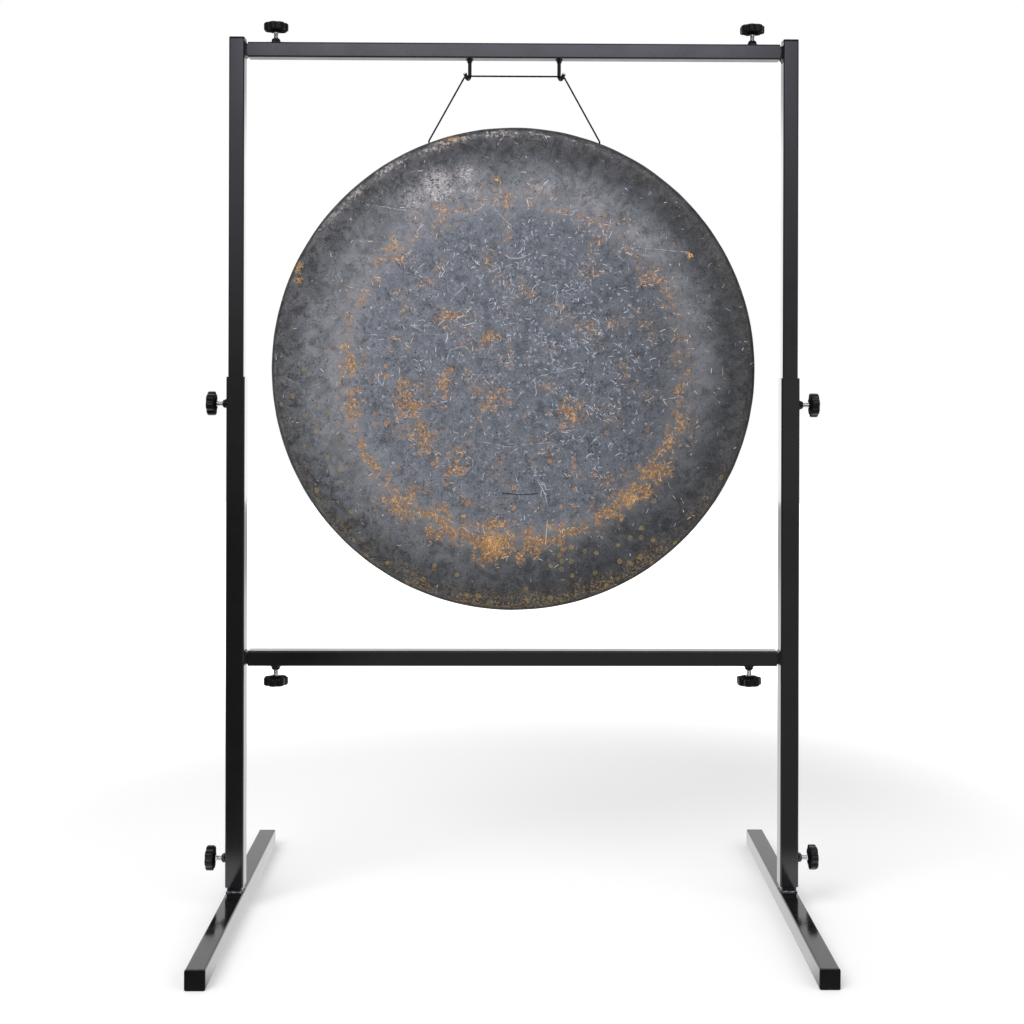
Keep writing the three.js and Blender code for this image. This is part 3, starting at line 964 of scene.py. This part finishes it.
def black_plastic(graph):
    """Moulded plastic with a fine grain and slightly polished high spots."""
    place = object_place(graph)
    broad = place.noise(14 * MM, 3, 0.55)
    grain = place.cells(0.55 * MM)[0]
    graph.surface(
        base_color=broad.between(grey(0.003, (1, 1, 1.04)), grey(0.006, (1, 1, 1.04))),
        roughness=broad.ease(0.3, 0.7, 0.22, 0.3) + grain * 0.04,
        ior=1.3,
        normal=(grain + place.noise(3 * MM) * 0.6).bump(0.012 * MM),
    )


def rough_plastic(graph):
    """The knobs' unpolished undersides."""
    broad = object_place(graph).noise(6 * MM, 3, 0.6)
    graph.surface(
        base_color=broad.between(grey(0.003), grey(0.007)),
        roughness=broad.ease(0.3, 0.7, 0.55, 0.7),
        ior=1.04,
        normal=broad.bump(0.03 * MM),
    )


def zinc_plate(graph):
    """Bright zinc plate with its faint blue and straw tints and some smut."""
    place = object_place(graph)
    tint = place.noise(3.5 * MM, 3, 0.6)
    base = tint.ease(0.35, 0.65).between(grey(0.66, (0.93, 1, 1.08)), grey(0.74, (1.04, 1, 0.93)))
    smut = place.noise(1.1 * MM).ease(0.6, 0.75, 0.0, 0.35)
    graph.surface(
        base_color=smut.between(base, grey(0.3)),
        metallic=1.0,
        roughness=tint.ease(0.3, 0.7, 0.18, 0.32),
        normal=place.noise(0.5 * MM).bump(0.012 * MM),
    )


def bare_steel(graph):
    """The sawn ends of the hooks."""
    saw = (object_place(graph) * Vector((1, 8, 1))).noise(1.2 * MM, 3, 0.6)
    graph.surface(
        base_color=saw.between(grey(0.8), grey(0.95)),
        metallic=0.3,
        roughness=saw.ease(0.3, 0.7, 0.3, 0.45),
        normal=saw.bump(0.05 * MM),
    )


def cord_fibre(graph):
    """Dark laid cord with fibres along its strands."""
    place = graph.value("ShaderNodeTexCoord", output="Object")
    fibre = place.noise(0.35 * MM, 3, 0.7)
    faded = place.noise(12 * MM).ease(0.45, 0.7, 0.0, 0.4)
    base = fibre.between(grey(0.002), grey(0.009, (1, 0.98, 0.94)))
    graph.surface(
        base_color=faded.between(base, grey(0.008)),
        roughness=fibre.ease(0.2, 0.8, 0.75, 0.95),
        sheen_weight=0.03,
        sheen_roughness=0.5,
        ior=1.25,
        normal=fibre.bump(0.12 * MM),
    )


# Colours of the gong: its patina, the copper that shows through, its marks, and painted highlights and glints
DEEP_SLATE = (0.092, 0.1, 0.113, 1)
LIGHT_SLATE = (0.19, 0.205, 0.232, 1)
CLOUDY_SLATE = (0.172, 0.184, 0.208, 1)
RUBBED_SLATE = (0.26, 0.265, 0.28, 1)
PATCHY_SLATE = (0.235, 0.25, 0.285, 1)
HOLLOW_SLATE = (0.08, 0.085, 0.095, 1)
DARK_GRAIN = (0.058, 0.063, 0.072, 1)
PALE_GRAIN = (0.29, 0.305, 0.335, 1)
FIBRE = (0.38, 0.4, 0.44, 1)
VEIN = (0.045, 0.048, 0.054, 1)
BLOT = (0.03, 0.031, 0.034, 1)
COPPER_STAIN = (0.32, 0.19, 0.09, 1)
DARK_CURL = (0.36, 0.14, 0.04, 1)
BRIGHT_CURL = (1.0, 0.6, 0.22, 1)
# Worn copper with painted glints, and worn pale patina that also paints a highlight at the top of the rim
WORN_COPPER_AND_GLINTS = (0.95, 0.5, 0.15, 1)
WORN_PATINA_AND_RIM_HIGHLIGHT = (0.5, 0.46, 0.455, 1)
COLD_STROKES = ((0.3, 0.33, 0.38, 1), (0.78, 0.82, 0.9, 1))
WARM_STROKES = ((0.4, 0.16, 0.045, 1), (1.0, 0.76, 0.5, 1))
COPPER_DOT = (0.56, 0.27, 0.1, 1)
OCHRE_DOT = (0.34, 0.25, 0.1, 1)
# Painted highlight in the dents
DENT_HIGHLIGHT = (0.36, 0.4, 0.49, 1)
PALE_SCRATCH = (0.5, 0.53, 0.6, 1)
DARK_SCRATCH = (0.016, 0.016, 0.018, 1)
PIT = (0.015, 0.014, 0.014, 1)
RIM_SPECK = (0.38, 0.24, 0.085, 1)

# Sizes on the gong's sheet
SHEET_WARP = 3.2 * MM
REAR_SHIFT = 4 * GONG_RADIUS
COPPER_STRAY = 48 * MM
BRIGHT_STRAY = 24 * MM
PALE_SCRATCH_HALF_WIDTH = 0.75 * MM
DARK_SCRATCH_HALF_WIDTH = 1.5 * MM
STROKE_HALF_WIDTH = 0.66 * MM
STROKE_BEND_SHARE = 0.9
DOT_SPACING = 19 * MM
DENT_SPACING = 15 * MM
PIT_SPACING = 12 * MM

# Copper spots: place across and up, size and strength, all as shares of the gong's radius
COPPER_SPOTS = (
    (-0.085, -0.70, 0.11, 1.3), (0.06, -0.72, 0.09, 0.85), (-0.27, -0.65, 0.1, 0.85),
    (-0.456, -0.54, 0.1, 0.8), (0.20, -0.67, 0.07, 0.7), (0.41, -0.59, 0.07, 0.85),
    (0.525, -0.475, 0.06, 1.15), (0.59, -0.41, 0.08, 0.85), (0.68, -0.23, 0.06, 0.55),
    (-0.42, -0.13, 0.09, 0.95), (-0.44, -0.07, 0.06, 0.85), (-0.38, -0.27, 0.08, 0.7),
    (-0.25, -0.42, 0.05, 0.7), (-0.21, -0.35, 0.04, 0.7), (-0.34, -0.33, 0.06, 0.5),
    (-0.085, -0.11, 0.09, 0.6), (-0.27, -0.04, 0.05, 0.75), (-0.10, 0.13, 0.05, 0.8),
    (-0.26, 0.21, 0.06, 0.7), (0.24, -0.17, 0.08, 0.95), (0.05, 0.35, 0.06, 0.4),
    (-0.69, 0.03, 0.06, 0.9), (-0.655, -0.13, 0.06, 0.85), (-0.47, 0.48, 0.07, 0.55),
    (-0.30, 0.64, 0.08, 0.4), (-0.06, 0.70, 0.08, 0.45), (-0.06, 0.79, 0.03, 0.6),
    (0.34, 0.60, 0.07, 0.4), (0.565, 0.40, 0.08, 0.5), (-0.25, 0.955, 0.06, 0.8),
)

# Spots worn right through to copper, painted with bright glints, and rubbed pale spots, given in the same way
BRIGHT_SPOTS = (
    (0.72, 0.476, 0.016, 1.0), (-0.89, 0.43, 0.026, 0.8), (-0.885, 0.375, 0.018, 0.7),
    (-0.085, -0.71, 0.05, 0.7), (0.49, -0.52, 0.035, 0.6),
)
PALE_SPOTS = (
    (-0.31, 0.755, 0.08, 1.1), (-0.20, 0.80, 0.06, 0.6), (-0.40, 0.70, 0.08, 0.6), (-0.15, 0.68, 0.10, 0.8),
    (0.10, 0.69, 0.10, 0.8), (0.30, 0.62, 0.10, 0.7), (0.46, 0.50, 0.10, 0.7), (-0.46, 0.50, 0.08, 0.6),
    (-0.15, 0.42, 0.07, 0.8), (0.02, 0.28, 0.1, 0.9), (-0.20, 0.24, 0.08, 0.9), (0.20, 0.22, 0.08, 0.8),
    (0.28, 0.05, 0.1, 0.9), (0.30, -0.12, 0.08, 1.0), (0.40, -0.22, 0.07, 0.9), (0.30, -0.38, 0.1, 0.8),
)

# Long scratches: start and end, each across and up as shares of the gong's radius
PALE_SCRATCHES = (
    (0.01, -0.11, 0.095, -0.02), (0.095, -0.02, 0.26, 0.02), (0.095, -0.02, 0.18, -0.10),
    (-0.12, -0.29, -0.03, -0.31), (-0.03, -0.31, 0.15, -0.29), (-0.28, 0.03, -0.26, 0.09),
    (-0.26, 0.09, -0.20, 0.105), (0.51, 0.51, 0.72, 0.49), (-0.10, 0.41, 0.0, 0.44),
    (-0.26, 0.29, -0.19, 0.36), (-0.60, 0.68, -0.42, 0.655),
)
DARK_SCRATCHES = ((-0.045, -0.501, 0.03, -0.508), (0.03, -0.508, 0.10, -0.503))

# Stroke layers: shift in metres, cell and half length in millimetres, and share of the density
STROKE_LAYERS = (
    (0.57, 64, 27, 0.5),
    (0.83, 31, 13, 0.6),
    (0.13, 17, 7.2, 0.85),
    (0.29, 11.5, 5.0, 1.0),
    (0.41, 7.2, 3.0, 1.0),
)


def strayed(place, size, reach):
    """A place moved about by noise, so that what is drawn there gets a ragged outline."""
    shift = place.noise(size, flat=True, output="Color") - Vector((0.5, 0.5, 0.5))
    return place + shift * Vector((reach, reach, 0))


class Face:
    """The gong's sheet laid flat with its rim unrolled outward, and the noises that several marks share.
    Distances are shares of the gong's radius."""

    def __init__(self, graph):
        coordinates = graph.node("ShaderNodeTexCoord").outputs
        across, depth, up = Value(graph, coordinates["Object"]).split()
        stretch = depth.larger(0.0) / GONG_RADIUS + 1.0
        flat = graph.join(across * stretch, up * stretch, 0.0)
        self.graph = graph
        self.distance = flat.length() / GONG_RADIUS
        self.right, self.above, _ = flat.normalized().split()
        self.outside = self.distance.ease(0.66, 0.8)

        # The rear gets another part of the pattern, away from the spots and scratches of the front
        behind = Value(graph, coordinates["Normal"]).split()[1] > 0.5
        aside = behind * REAR_SHIFT
        self.sheet = strayed(flat, 13 * MM, SHEET_WARP) + graph.join(aside, aside, 0.0)
        self.clouds = self.noise(46, 4, 0.6)
        self.mottle = self.noise(13, 5, 0.68, 0.5)
        self.grain = self.noise(2.7, 3, 0.7)

    def noise(self, size, detail=2.0, roughness=0.5, distortion=0.0):
        """Flat noise on the sheet, its size in millimetres."""
        return self.sheet.noise(size * MM, detail, roughness, distortion, flat=True)

    def ridge(self, size, width, detail=2.0, roughness=0.5):
        """Thin winding lines where a flat noise crosses its middle."""
        return abs(self.noise(size, detail, roughness) - 0.5).ease(0.3 * width, width, 1.0, 0.0)

    def cells(self, spacing, shift=(0.0, 0.0, 0.0)):
        """How far the nearest of some random points is, and its three random numbers."""
        distance, color, _ = (self.sheet + Vector(shift)).cells(spacing, flat=True)
        return distance, color.split()


def soft_spots(place, spots):
    """The strongest of some soft round spots."""
    levels = []
    for x, z, size, strength in spots:
        reach = size * GONG_RADIUS
        offset = (place - Vector((x, z, 0)) * GONG_RADIUS).length()
        levels.append(offset.ease(0.2 * reach, 1.25 * reach, strength, 0.0))
    return reduce(Value.larger, levels)


def long_scratches(place, half_width, segments):
    """Straight scratches: 1 on one of them, 0 off them all."""
    levels = []
    for start_x, start_z, end_x, end_z in segments:
        start = Vector((start_x, start_z, 0)) * GONG_RADIUS
        run = Vector((end_x, end_z, 0)) * GONG_RADIUS - start
        offset = place - start
        share = offset.dot(run / run.length_squared).ease(0.0, 1.0, interpolation="LINEAR")
        beside = (offset - place.graph.join(share, share, 0.0) * run).length()
        levels.append(beside.ease(0.3 * half_width, half_width, 1.0, 0.0))
    return reduce(Value.larger, levels)


def strokes(place, shift, cell, reach, density):
    """One short bent stroke of random direction in some cells: 1 on it, 0 off it, and two random numbers."""
    place = place + Vector((shift, 1.7 * shift, 0))
    _, color, middle = place.cells(cell, flat=True)
    direction, choice, warmth = color.split()
    inputs = {"Vector": place - middle, "Angle": direction * TURN}
    along, across, _ = place.graph.value("ShaderNodeVectorRotate", inputs, rotation_type="Z_AXIS").split()
    bend = (warmth - 0.5) * (STROKE_BEND_SHARE / reach)
    line = abs(across + along * along * bend).ease(0.35 * STROKE_HALF_WIDTH, STROKE_HALF_WIDTH, 1.0, 0.0)
    end = abs(along).ease(0.5 * reach, reach, 1.0, 0.0)
    shade = (direction * 17.0).fraction()
    strength = shade * shade * 0.7 + 0.3
    return line * end * (choice < density) * strength, warmth, shade


def slate(face):
    """The grey-blue ground: clouds, a stipple, fibres and dark veins."""
    color = face.mottle.ease(0.34, 0.66).between(DEEP_SLATE, LIGHT_SLATE)
    color = face.clouds.ease(0.36, 0.64, 0.0, 0.6).between(color, CLOUDY_SLATE)
    color = face.grain.ease(0.5, 0.74, 0.0, 0.5).between(color, DARK_GRAIN)
    color = face.grain.ease(0.47, 0.28, 0.0, 0.36).between(color, PALE_GRAIN)
    fibres = face.ridge(6, 0.034, 3, 0.7) * face.noise(24, 3).ease(0.42, 0.6, 0.08, 0.55)
    color = fibres.between(color, FIBRE)
    veins = face.ridge(19, 0.022, 4, 0.62) * face.noise(33).ease(0.45, 0.6, 0.08, 0.75)
    return veins.between(color, VEIN)


def patina_level(face):
    """Painted light and shade on the ground: less light at the right, more outside the ring at the left and
    above, and painted shade darkening it at the rim."""
    right, above, distance = face.right, face.above, face.distance
    # Painted light and shade: lighter above and to the left outside the ring, darker towards the right inside
    # it
    outer = 0.96 - right * 0.16 + above * 0.2 + right * above * 0.23
    outer = outer + right * right * 0.11 - above * above * 0.12
    side = right * distance
    inside = 1.03 - side * 0.22 + side.ease(0.15, 0.6, 0.0, -0.16)
    level = distance.ease(0.67, 0.79).between(inside, outer)
    # Painted shade darkening the ground towards the rim, by a share that changes round the gong
    rim_shade_share = (right * 0.7 + above * 0.5).ease(0.1, 0.85, 0.48, 0.63)
    rim_shade_share = rim_shade_share + (right * 0.5 - above).ease(0.4, 1.1, 0.0, -0.14)
    from_middle = distance + face.clouds * 0.04 + right * 0.022
    return level * (1.0 - from_middle.ease(0.805, 0.955) * rim_shade_share)


def weathered(face, color):
    """The ground rubbed along the ring, patchy outside it, darker in blots towards the rim, and with painted
    light and shade over it.
    """
    near_ring = abs(face.distance - 0.705).ease(0.02, 0.09, 0.5, 0.0)
    color = (near_ring * face.mottle.ease(0.36, 0.6, 0.5, 1.2)).between(color, RUBBED_SLATE)
    patches = face.noise(30, 4, 0.62, 0.8).ease(0.48, 0.6, 0.0, 0.5) * face.outside
    color = patches.between(color, PATCHY_SLATE)
    hollows = face.noise(38, 4, 0.6, 0.6).ease(0.52, 0.62, 0.0, 0.4) * face.outside
    color = hollows.between(color, HOLLOW_SLATE)
    # Painted light and shade multiply the colour, a little warmer outside the ring and bluer inside it
    level = patina_level(face)
    green = level * face.outside.between(1.0, 0.975)
    blue = level * face.outside.between(1.02, 0.94)
    color = color * face.graph.join(level, green, blue)
    blots = face.noise(15, 4, 0.65, 0.6).ease(0.5, 0.62) * face.distance.ease(0.8, 0.94, 0.0, 0.6)
    return blots.between(color, BLOT)


def copper_level(face):
    """How much copper shows: the worn ring, the patches and a little everywhere."""
    from_ring = abs(face.distance - (0.7 + (face.noise(90) - 0.5) * 0.1)) + face.noise(22) * 0.05 - 0.02
    across_ring = from_ring.ease(0.0, 0.042, 0.72, 0.0) + from_ring.ease(0.02, 0.085, 0.36, 0.0)
    low = (face.right * 0.2 - face.above).ease(-0.1, 0.9, 0.0, 0.56)
    ring = across_ring * (low + face.right.ease(-0.55, -1.0, 0.0, 0.12) + 0.34)
    patches = soft_spots(strayed(face.sheet, 38 * MM, COPPER_STRAY), COPPER_SPOTS) * 1.15
    scatter = face.noise(52).ease(0.5, 0.66, 0.02, 0.3) * face.distance.ease(0.7, 0.85, 1.0, 0.35)
    clumps = face.noise(17, 3, 0.6).ease(0.38, 0.6, 0.22, 1.3)
    crumbs = face.noise(6, 2, 0.6).ease(0.38, 0.6, 0.5, 1.35)
    return ring.larger(patches).larger(scatter) * clumps * crumbs


def coppered(face, color, copper):
    """A soft copper stain, with winding lines of copper in it."""
    stain = copper.ease(0.1, 1.0, 0.0, 0.58) * face.mottle.ease(0.3, 0.6, 0.5, 1.0)
    color = stain.between(color, COPPER_STAIN)
    curl_tone = face.noise(5, 3, 0.65).ease(0.4, 0.62).between(DARK_CURL, BRIGHT_CURL)
    for size, width, share in ((7, 0.036, 0.85), (3.6, 0.045, 0.7)):
        curls = face.ridge(size, width, 2, 0.6) * copper.ease(0.15, 0.8, 0.0, share)
        color = curls.between(color, curl_tone)
    return color


def worn(face, color, rubbed):
    """The patina rubbed pale outside the ring and, with a painted highlight, at the top of the rim, and worn
    through to copper with painted glints in a few spots.
    """
    threads = face.ridge(8, 0.07, 3, 0.7) + face.mottle.ease(0.42, 0.6, 0.0, 0.35)
    rubbed = rubbed * face.distance.ease(0.71, 0.78) * threads
    # Pale at the top of the rim, most to the left: wear, and a painted highlight where the rim turns up to
    # the light
    rim = face.distance.ease(0.945, 0.975) * face.distance.ease(0.995, 1.015, 1.0, 0.15)
    rim = rim * (face.above * 0.95 - face.right * 0.3).ease(0.7, 0.95)
    rim = rim * face.noise(7, 4, 0.75).ease(0.48, 0.6, 0.0, 0.8) * face.clouds.ease(0.42, 0.55)
    color = rubbed.larger(rim).between(color, WORN_PATINA_AND_RIM_HIGHLIGHT)
    # Painted glints breaking up the bright worn copper spots
    sparkle = face.grain.ease(0.46, 0.58, 0.0, 0.9) + face.ridge(4, 0.05, 2, 0.6)
    bright = soft_spots(strayed(face.sheet, 8 * MM, BRIGHT_STRAY), BRIGHT_SPOTS) * sparkle
    return bright.between(color, WORN_COPPER_AND_GLINTS)


def stroked(face, color, copper, rubbed):
    """Layers of short strokes, warm where copper shows and cold elsewhere, and where they are."""
    pale = face.distance.ease(0.45, 0.7, 0.5, 0.03) * (face.right * 0.25 + face.above * 0.25 + 0.8)
    pale = pale.larger(rubbed * 0.9) * face.noise(30, 3).ease(0.43, 0.63, 0.1, 1.7)
    warm_share = copper / (pale + copper + 0.02)
    lines = []
    for shift, cell, reach, density_share in STROKE_LAYERS:
        density = (pale + copper) * density_share
        line, random, shade = strokes(face.sheet, shift, cell * MM, reach * MM, density)
        tone = (random < warm_share).between(shade.between(*COLD_STROKES), shade.between(*WARM_STROKES))
        color = line.between(color, tone)
        lines.append(line)
    return color, reduce(Value.larger, lines)


def dotted(face, color):
    """Ring-shaped hammer dots in the lower half, coppery inside the ring and ochre outside it."""
    distance, random = face.cells(DOT_SPACING)
    from_dot = distance + (face.grain - 0.5) * 0.22 - random[1] * 0.05
    dot_ring = abs(from_dot - 0.1).ease(0.03, 0.1, 1.0, 0.0)
    lower = (face.right * -0.35 - face.above * 0.9).ease(-0.05, 0.7)
    dot_share = lower * face.distance.ease(0.12, 0.4, 0.04, 0.24)
    dot = dot_ring * (random[0] < dot_share) * (random[2] * 0.5 + 0.35)
    return dot.between(color, face.outside.between(COPPER_DOT, OCHRE_DOT))


def dented(face, color):
    """Small dents in the middle and to the right, lightened by painted highlights, and where they are."""
    distance, random = face.cells(DENT_SPACING, (0.4, 0.9, 0.0))
    from_middle = (face.sheet - Vector((0.14, 0.12, 0)) * GONG_RADIUS).length()
    share = from_middle.ease(0.15 * GONG_RADIUS, 0.62 * GONG_RADIUS, 0.5, 0.0)
    dent = distance.ease(0.08, 0.19, 1.0, 0.0) * (random[0] < share)
    # Painted highlight: the dents lightened towards a pale blue-grey
    return (dent * 0.75).between(color, DENT_HIGHLIGHT), dent


def scratched(face, color):
    pale = long_scratches(face.sheet, PALE_SCRATCH_HALF_WIDTH, PALE_SCRATCHES)
    color = (pale * face.mottle.ease(0.4, 0.56, 0.2, 0.8)).between(color, PALE_SCRATCH)
    dark = long_scratches(face.sheet, DARK_SCRATCH_HALF_WIDTH, DARK_SCRATCHES)
    return (dark * 0.9).between(color, DARK_SCRATCH)


def pitted(face, color):
    """Small dark pits, and where they are."""
    distance, random = face.cells(PIT_SPACING, (0.7, 0.2, 0.0))
    pit = distance.ease(0.05, 0.12, 1.0, 0.0) * (random[0] < 0.22)
    return (pit * 0.85).between(color, PIT), pit


def rimmed(face, color):
    """Ochre specks near the rim, most of them at the bottom, and painted shade darkening the turn of the
    edge.
    """
    specks = face.noise(4.4, 3, 0.7).ease(0.52, 0.58) * face.distance.ease(0.88, 0.965, 0.0, 0.8)
    specks = specks * face.above.ease(-0.4, -0.98, 0.14, 0.8) * face.clouds.ease(0.4, 0.56, 0.3, 1.1)
    color = specks.between(color, RIM_SPECK)
    # Painted shade: the colour darkened from the turn of the edge onward
    edge = face.distance.ease(0.99, 1.0, 1.0, 0.55)
    return color * face.graph.join(edge, edge, edge)


def gong_bronze(graph):
    """Hammered bronze under a slate patina, worn to copper in a ring and in patches, scratched and dented,
    with painted light and shade and painted highlights and glints.
    """
    face = Face(graph)
    copper = copper_level(face)
    rubbed = soft_spots(face.sheet, PALE_SPOTS)
    color = weathered(face, slate(face))
    color = coppered(face, color, copper)
    color = worn(face, color, rubbed)
    color, marks = stroked(face, color, copper, rubbed)
    color = dotted(face, color)
    color, dents = dented(face, color)
    color = scratched(face, color)
    color, pits = pitted(face, color)
    height = face.mottle + face.grain * 0.22 - dents * 0.3 - marks * 0.12 - pits * 0.4
    graph.surface(
        base_color=rimmed(face, color),
        metallic=(copper * 0.16 + 0.28) * face.distance.ease(0.96, 1.0, 1.0, 0.0),
        roughness=face.mottle.ease(0.3, 0.7, 0.42, 0.56).larger(face.distance.ease(0.96, 1.0, 0.0, 0.8)),
        ior=1.4,
        normal=height.bump(0.3 * MM),
    )


POWDER_COAT = new_material(powder_coat)
WELDED_NUT = new_material(welded_nut)
BLACK_PLASTIC = new_material(black_plastic)
ROUGH_PLASTIC = new_material(rough_plastic)
ZINC_PLATE = new_material(zinc_plate)
BARE_STEEL = new_material(bare_steel)
CORD_FIBRE = new_material(cord_fibre)
GONG_BRONZE = new_material(gong_bronze)


# The stand


def make_stand():
    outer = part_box("left_foot_tube")[1].z
    post_low, post_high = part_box("left_upper_upright")
    middle = post_high.x - post_low.x
    inner = middle - 2 * (TUBE_WALL + SLIDE_CLEARANCE)

    def screw_face(screw, toward):
        return seat(f"{screw}_nut", toward)[0].translation

    for side, outward, inward in (("left", "-X", "+X"), ("right", "+X", "-X")):
        make_tube(f"{side}_foot_tube", "+Y", outer)
        make_plug(f"{side}_foot_front_plug", "-Y", outer)
        make_plug(f"{side}_foot_rear_plug", "+Y", outer)
        make_stub(f"{side}_foot_stub", "+Z", middle, FOOT_STUB_WELD_RISE)
        faces = [screw_face(f"{side}_foot", outward), screw_face(f"{side}_height", outward)]
        make_tube(f"{side}_lower_upright", "+Z", outer, outward, faces)
        make_tube(f"{side}_upper_upright", "+Z", middle)
        make_plug(f"{side}_top_plug", "+Z", middle)
        make_stub(f"{side}_lower_bar_stub", inward, inner, LOWER_STUB_WELD_RISE)
        make_stub(f"{side}_top_bar_stub", inward, inner, TOP_STUB_WELD_RISE, TOP_STUB_WELD_SAG)
    for bar, toward in (("lower", "-Z"), ("top", "+Z")):
        faces = [screw_face(f"{side}_{bar}_bar", toward) for side in ("left", "right")]
        make_tube(f"{bar}_crossbar", "+X", middle, toward, faces)
    make_screws()
    make_hook("left", -1)
    make_hook("right", 1)


make_stand()
make_gong()
make_cord()


# Floor, light and camera

WHITE = 1.0
BACKDROP_GLOW = 2.4
HIGH_BOX_GLOW = 8.0
FLOOR_GLOW = 1.45
DIFFUSE_LIGHT = 0.55
COOL_LIGHT = (1, 0.985, 1.16, 1)
FLOOR_COLOR = 0.8
FLOOR_REACH = 7.0
FLOOR_LEVEL = -0.2 * MM
LAMP_SIZE = 3.4
LAMP_TARGET = Vector((0, 0, 0.8))


def floor(graph):
    """A white floor: plain to the camera apart from the stand's shadow, and for glossy surfaces bright round
    the stand but dark further in front."""
    place = graph.value("ShaderNodeNewGeometry", output="Position")
    across, depth, _ = place.split()
    lift = graph.ray("Camera") * place.length().ease(0.9, 2.2, 0.3, 1.0)
    dark = across.ease(-0.62, -0.36, 0.04, 0.33)
    mirrored = depth.ease(-0.34, -0.2, dark, FLOOR_GLOW) * depth.ease(2.5, 4.5, 1.0, 0.62)
    diffuse = graph.value("ShaderNodeBsdfDiffuse", {"Color": grey(FLOOR_COLOR)})
    shown = graph.value("ShaderNodeAddShader", {0: diffuse, 1: graph.glow(lift)})
    both = graph.value("ShaderNodeMixShader", {0: graph.ray("Glossy"), 1: shown, 2: graph.glow(mirrored)})
    graph.node("ShaderNodeOutputMaterial", {"Surface": both})


FLOOR = new_material(floor)


def make_floor():
    corners = []
    for x, y in ((-1, -1), (1, -1), (1, 1), (-1, 1)):
        corners.append((x * FLOOR_REACH, y * FLOOR_REACH, FLOOR_LEVEL))
    mesh = bpy.data.meshes.new("floor")
    mesh.from_pydata(corners, [], [(0, 1, 2, 3)])
    mesh.materials.append(FLOOR)
    floor = link("floor", mesh)


def make_world():
    """White to the camera, even light on the object, and for gloss a studio: a bright backdrop behind, a soft
    box above the camera, two smaller ones higher at its sides, and a dark room round them."""
    world = bpy.data.worlds.new("studio")
    world.use_nodes = True
    bpy.context.scene.world = world
    graph = Graph(world.node_tree)
    x, y, z = graph.value("ShaderNodeTexCoord", output="Generated").split()
    side = x / graph.join(x, y, 0.0).length().larger(0.001)
    aside = abs(side)

    wall = z.ease(-0.02, 0.24, 0.12, 1.45, "LINEAR")
    box = aside.ease(0.15, 0.195, 1.4, 0.0) * z.ease(0.17, 0.212)
    wall = (wall + box) * z.ease(0.28, 0.34, 1.0, 0.12) * aside.ease(0.3, 0.42, 1.0, 0.3)
    room = side.ease(-0.12, 0.12, 0.14, 0.46) * z.ease(0.1, 0.3, 1.0, 0.3)
    high_boxes = aside.ease(0.24, 0.34) * aside.ease(0.55, 0.66, HIGH_BOX_GLOW, 0.0)
    high_boxes = high_boxes * z.ease(0.46, 0.52) * z.ease(0.72, 0.8, 1.0, 0.0)
    front = wall.larger(room).larger(high_boxes)
    backdrop = abs(z).ease(0.14, 0.2, BACKDROP_GLOW, 1.15) * aside.ease(0.42, 0.6, 1.0, 0.25)
    back = backdrop.larger(z.ease(0.55, 0.8, 0.0, 1.3))
    studio = y.ease(-0.05, 0.1).between(front, back)

    glossy = graph.ray("Glossy")
    seen = graph.ray("Camera").larger(graph.ray("Transmission"))
    strength = seen.between(glossy.between(DIFFUSE_LIGHT, studio), WHITE)
    cool = glossy * z.ease(0.0, 0.12) * y.ease(0.1, -0.05)
    color = cool.between(grey(1.0), COOL_LIGHT)
    background = graph.value("ShaderNodeBackground", {"Color": color, "Strength": strength})
    graph.node("ShaderNodeOutputWorld", {"Surface": background})


def make_lamp(name, location, power):
    """A round soft lamp that shines on the gong and shows in no reflection."""
    data = bpy.data.lights.new(name, "AREA")
    data.shape = "DISK"
    data.size = LAMP_SIZE
    data.energy = power
    lamp = link(name, data)
    lamp.location = location
    lamp.rotation_euler = (LAMP_TARGET - Vector(location)).to_track_quat("-Z", "Y").to_euler()
    lamp.visible_glossy = False
    lamp.visible_camera = False


def make_camera():
    """The camera fitted to the photograph's edges, with the shift that its framing needs."""
    data = bpy.data.cameras.new("camera")
    data.lens = 49.524
    data.sensor_width = 36
    data.shift_x = -0.00837
    data.shift_y = -0.1394
    data.clip_start = 0.05
    camera = link("camera", data)
    camera.location = (-0.01288, -2.30408, 0.88239)
    camera.rotation_euler = (QUARTER, math.radians(-0.16), math.radians(-0.603))
    bpy.context.scene.camera = camera


make_floor()
make_world()
make_lamp("key", (-2.2, -3.4, 4.2), 150)
make_lamp("fill", (2.8, -3.0, 2.6), 40)
make_camera()
bpy.context.scene.view_settings.view_transform = "Standard"
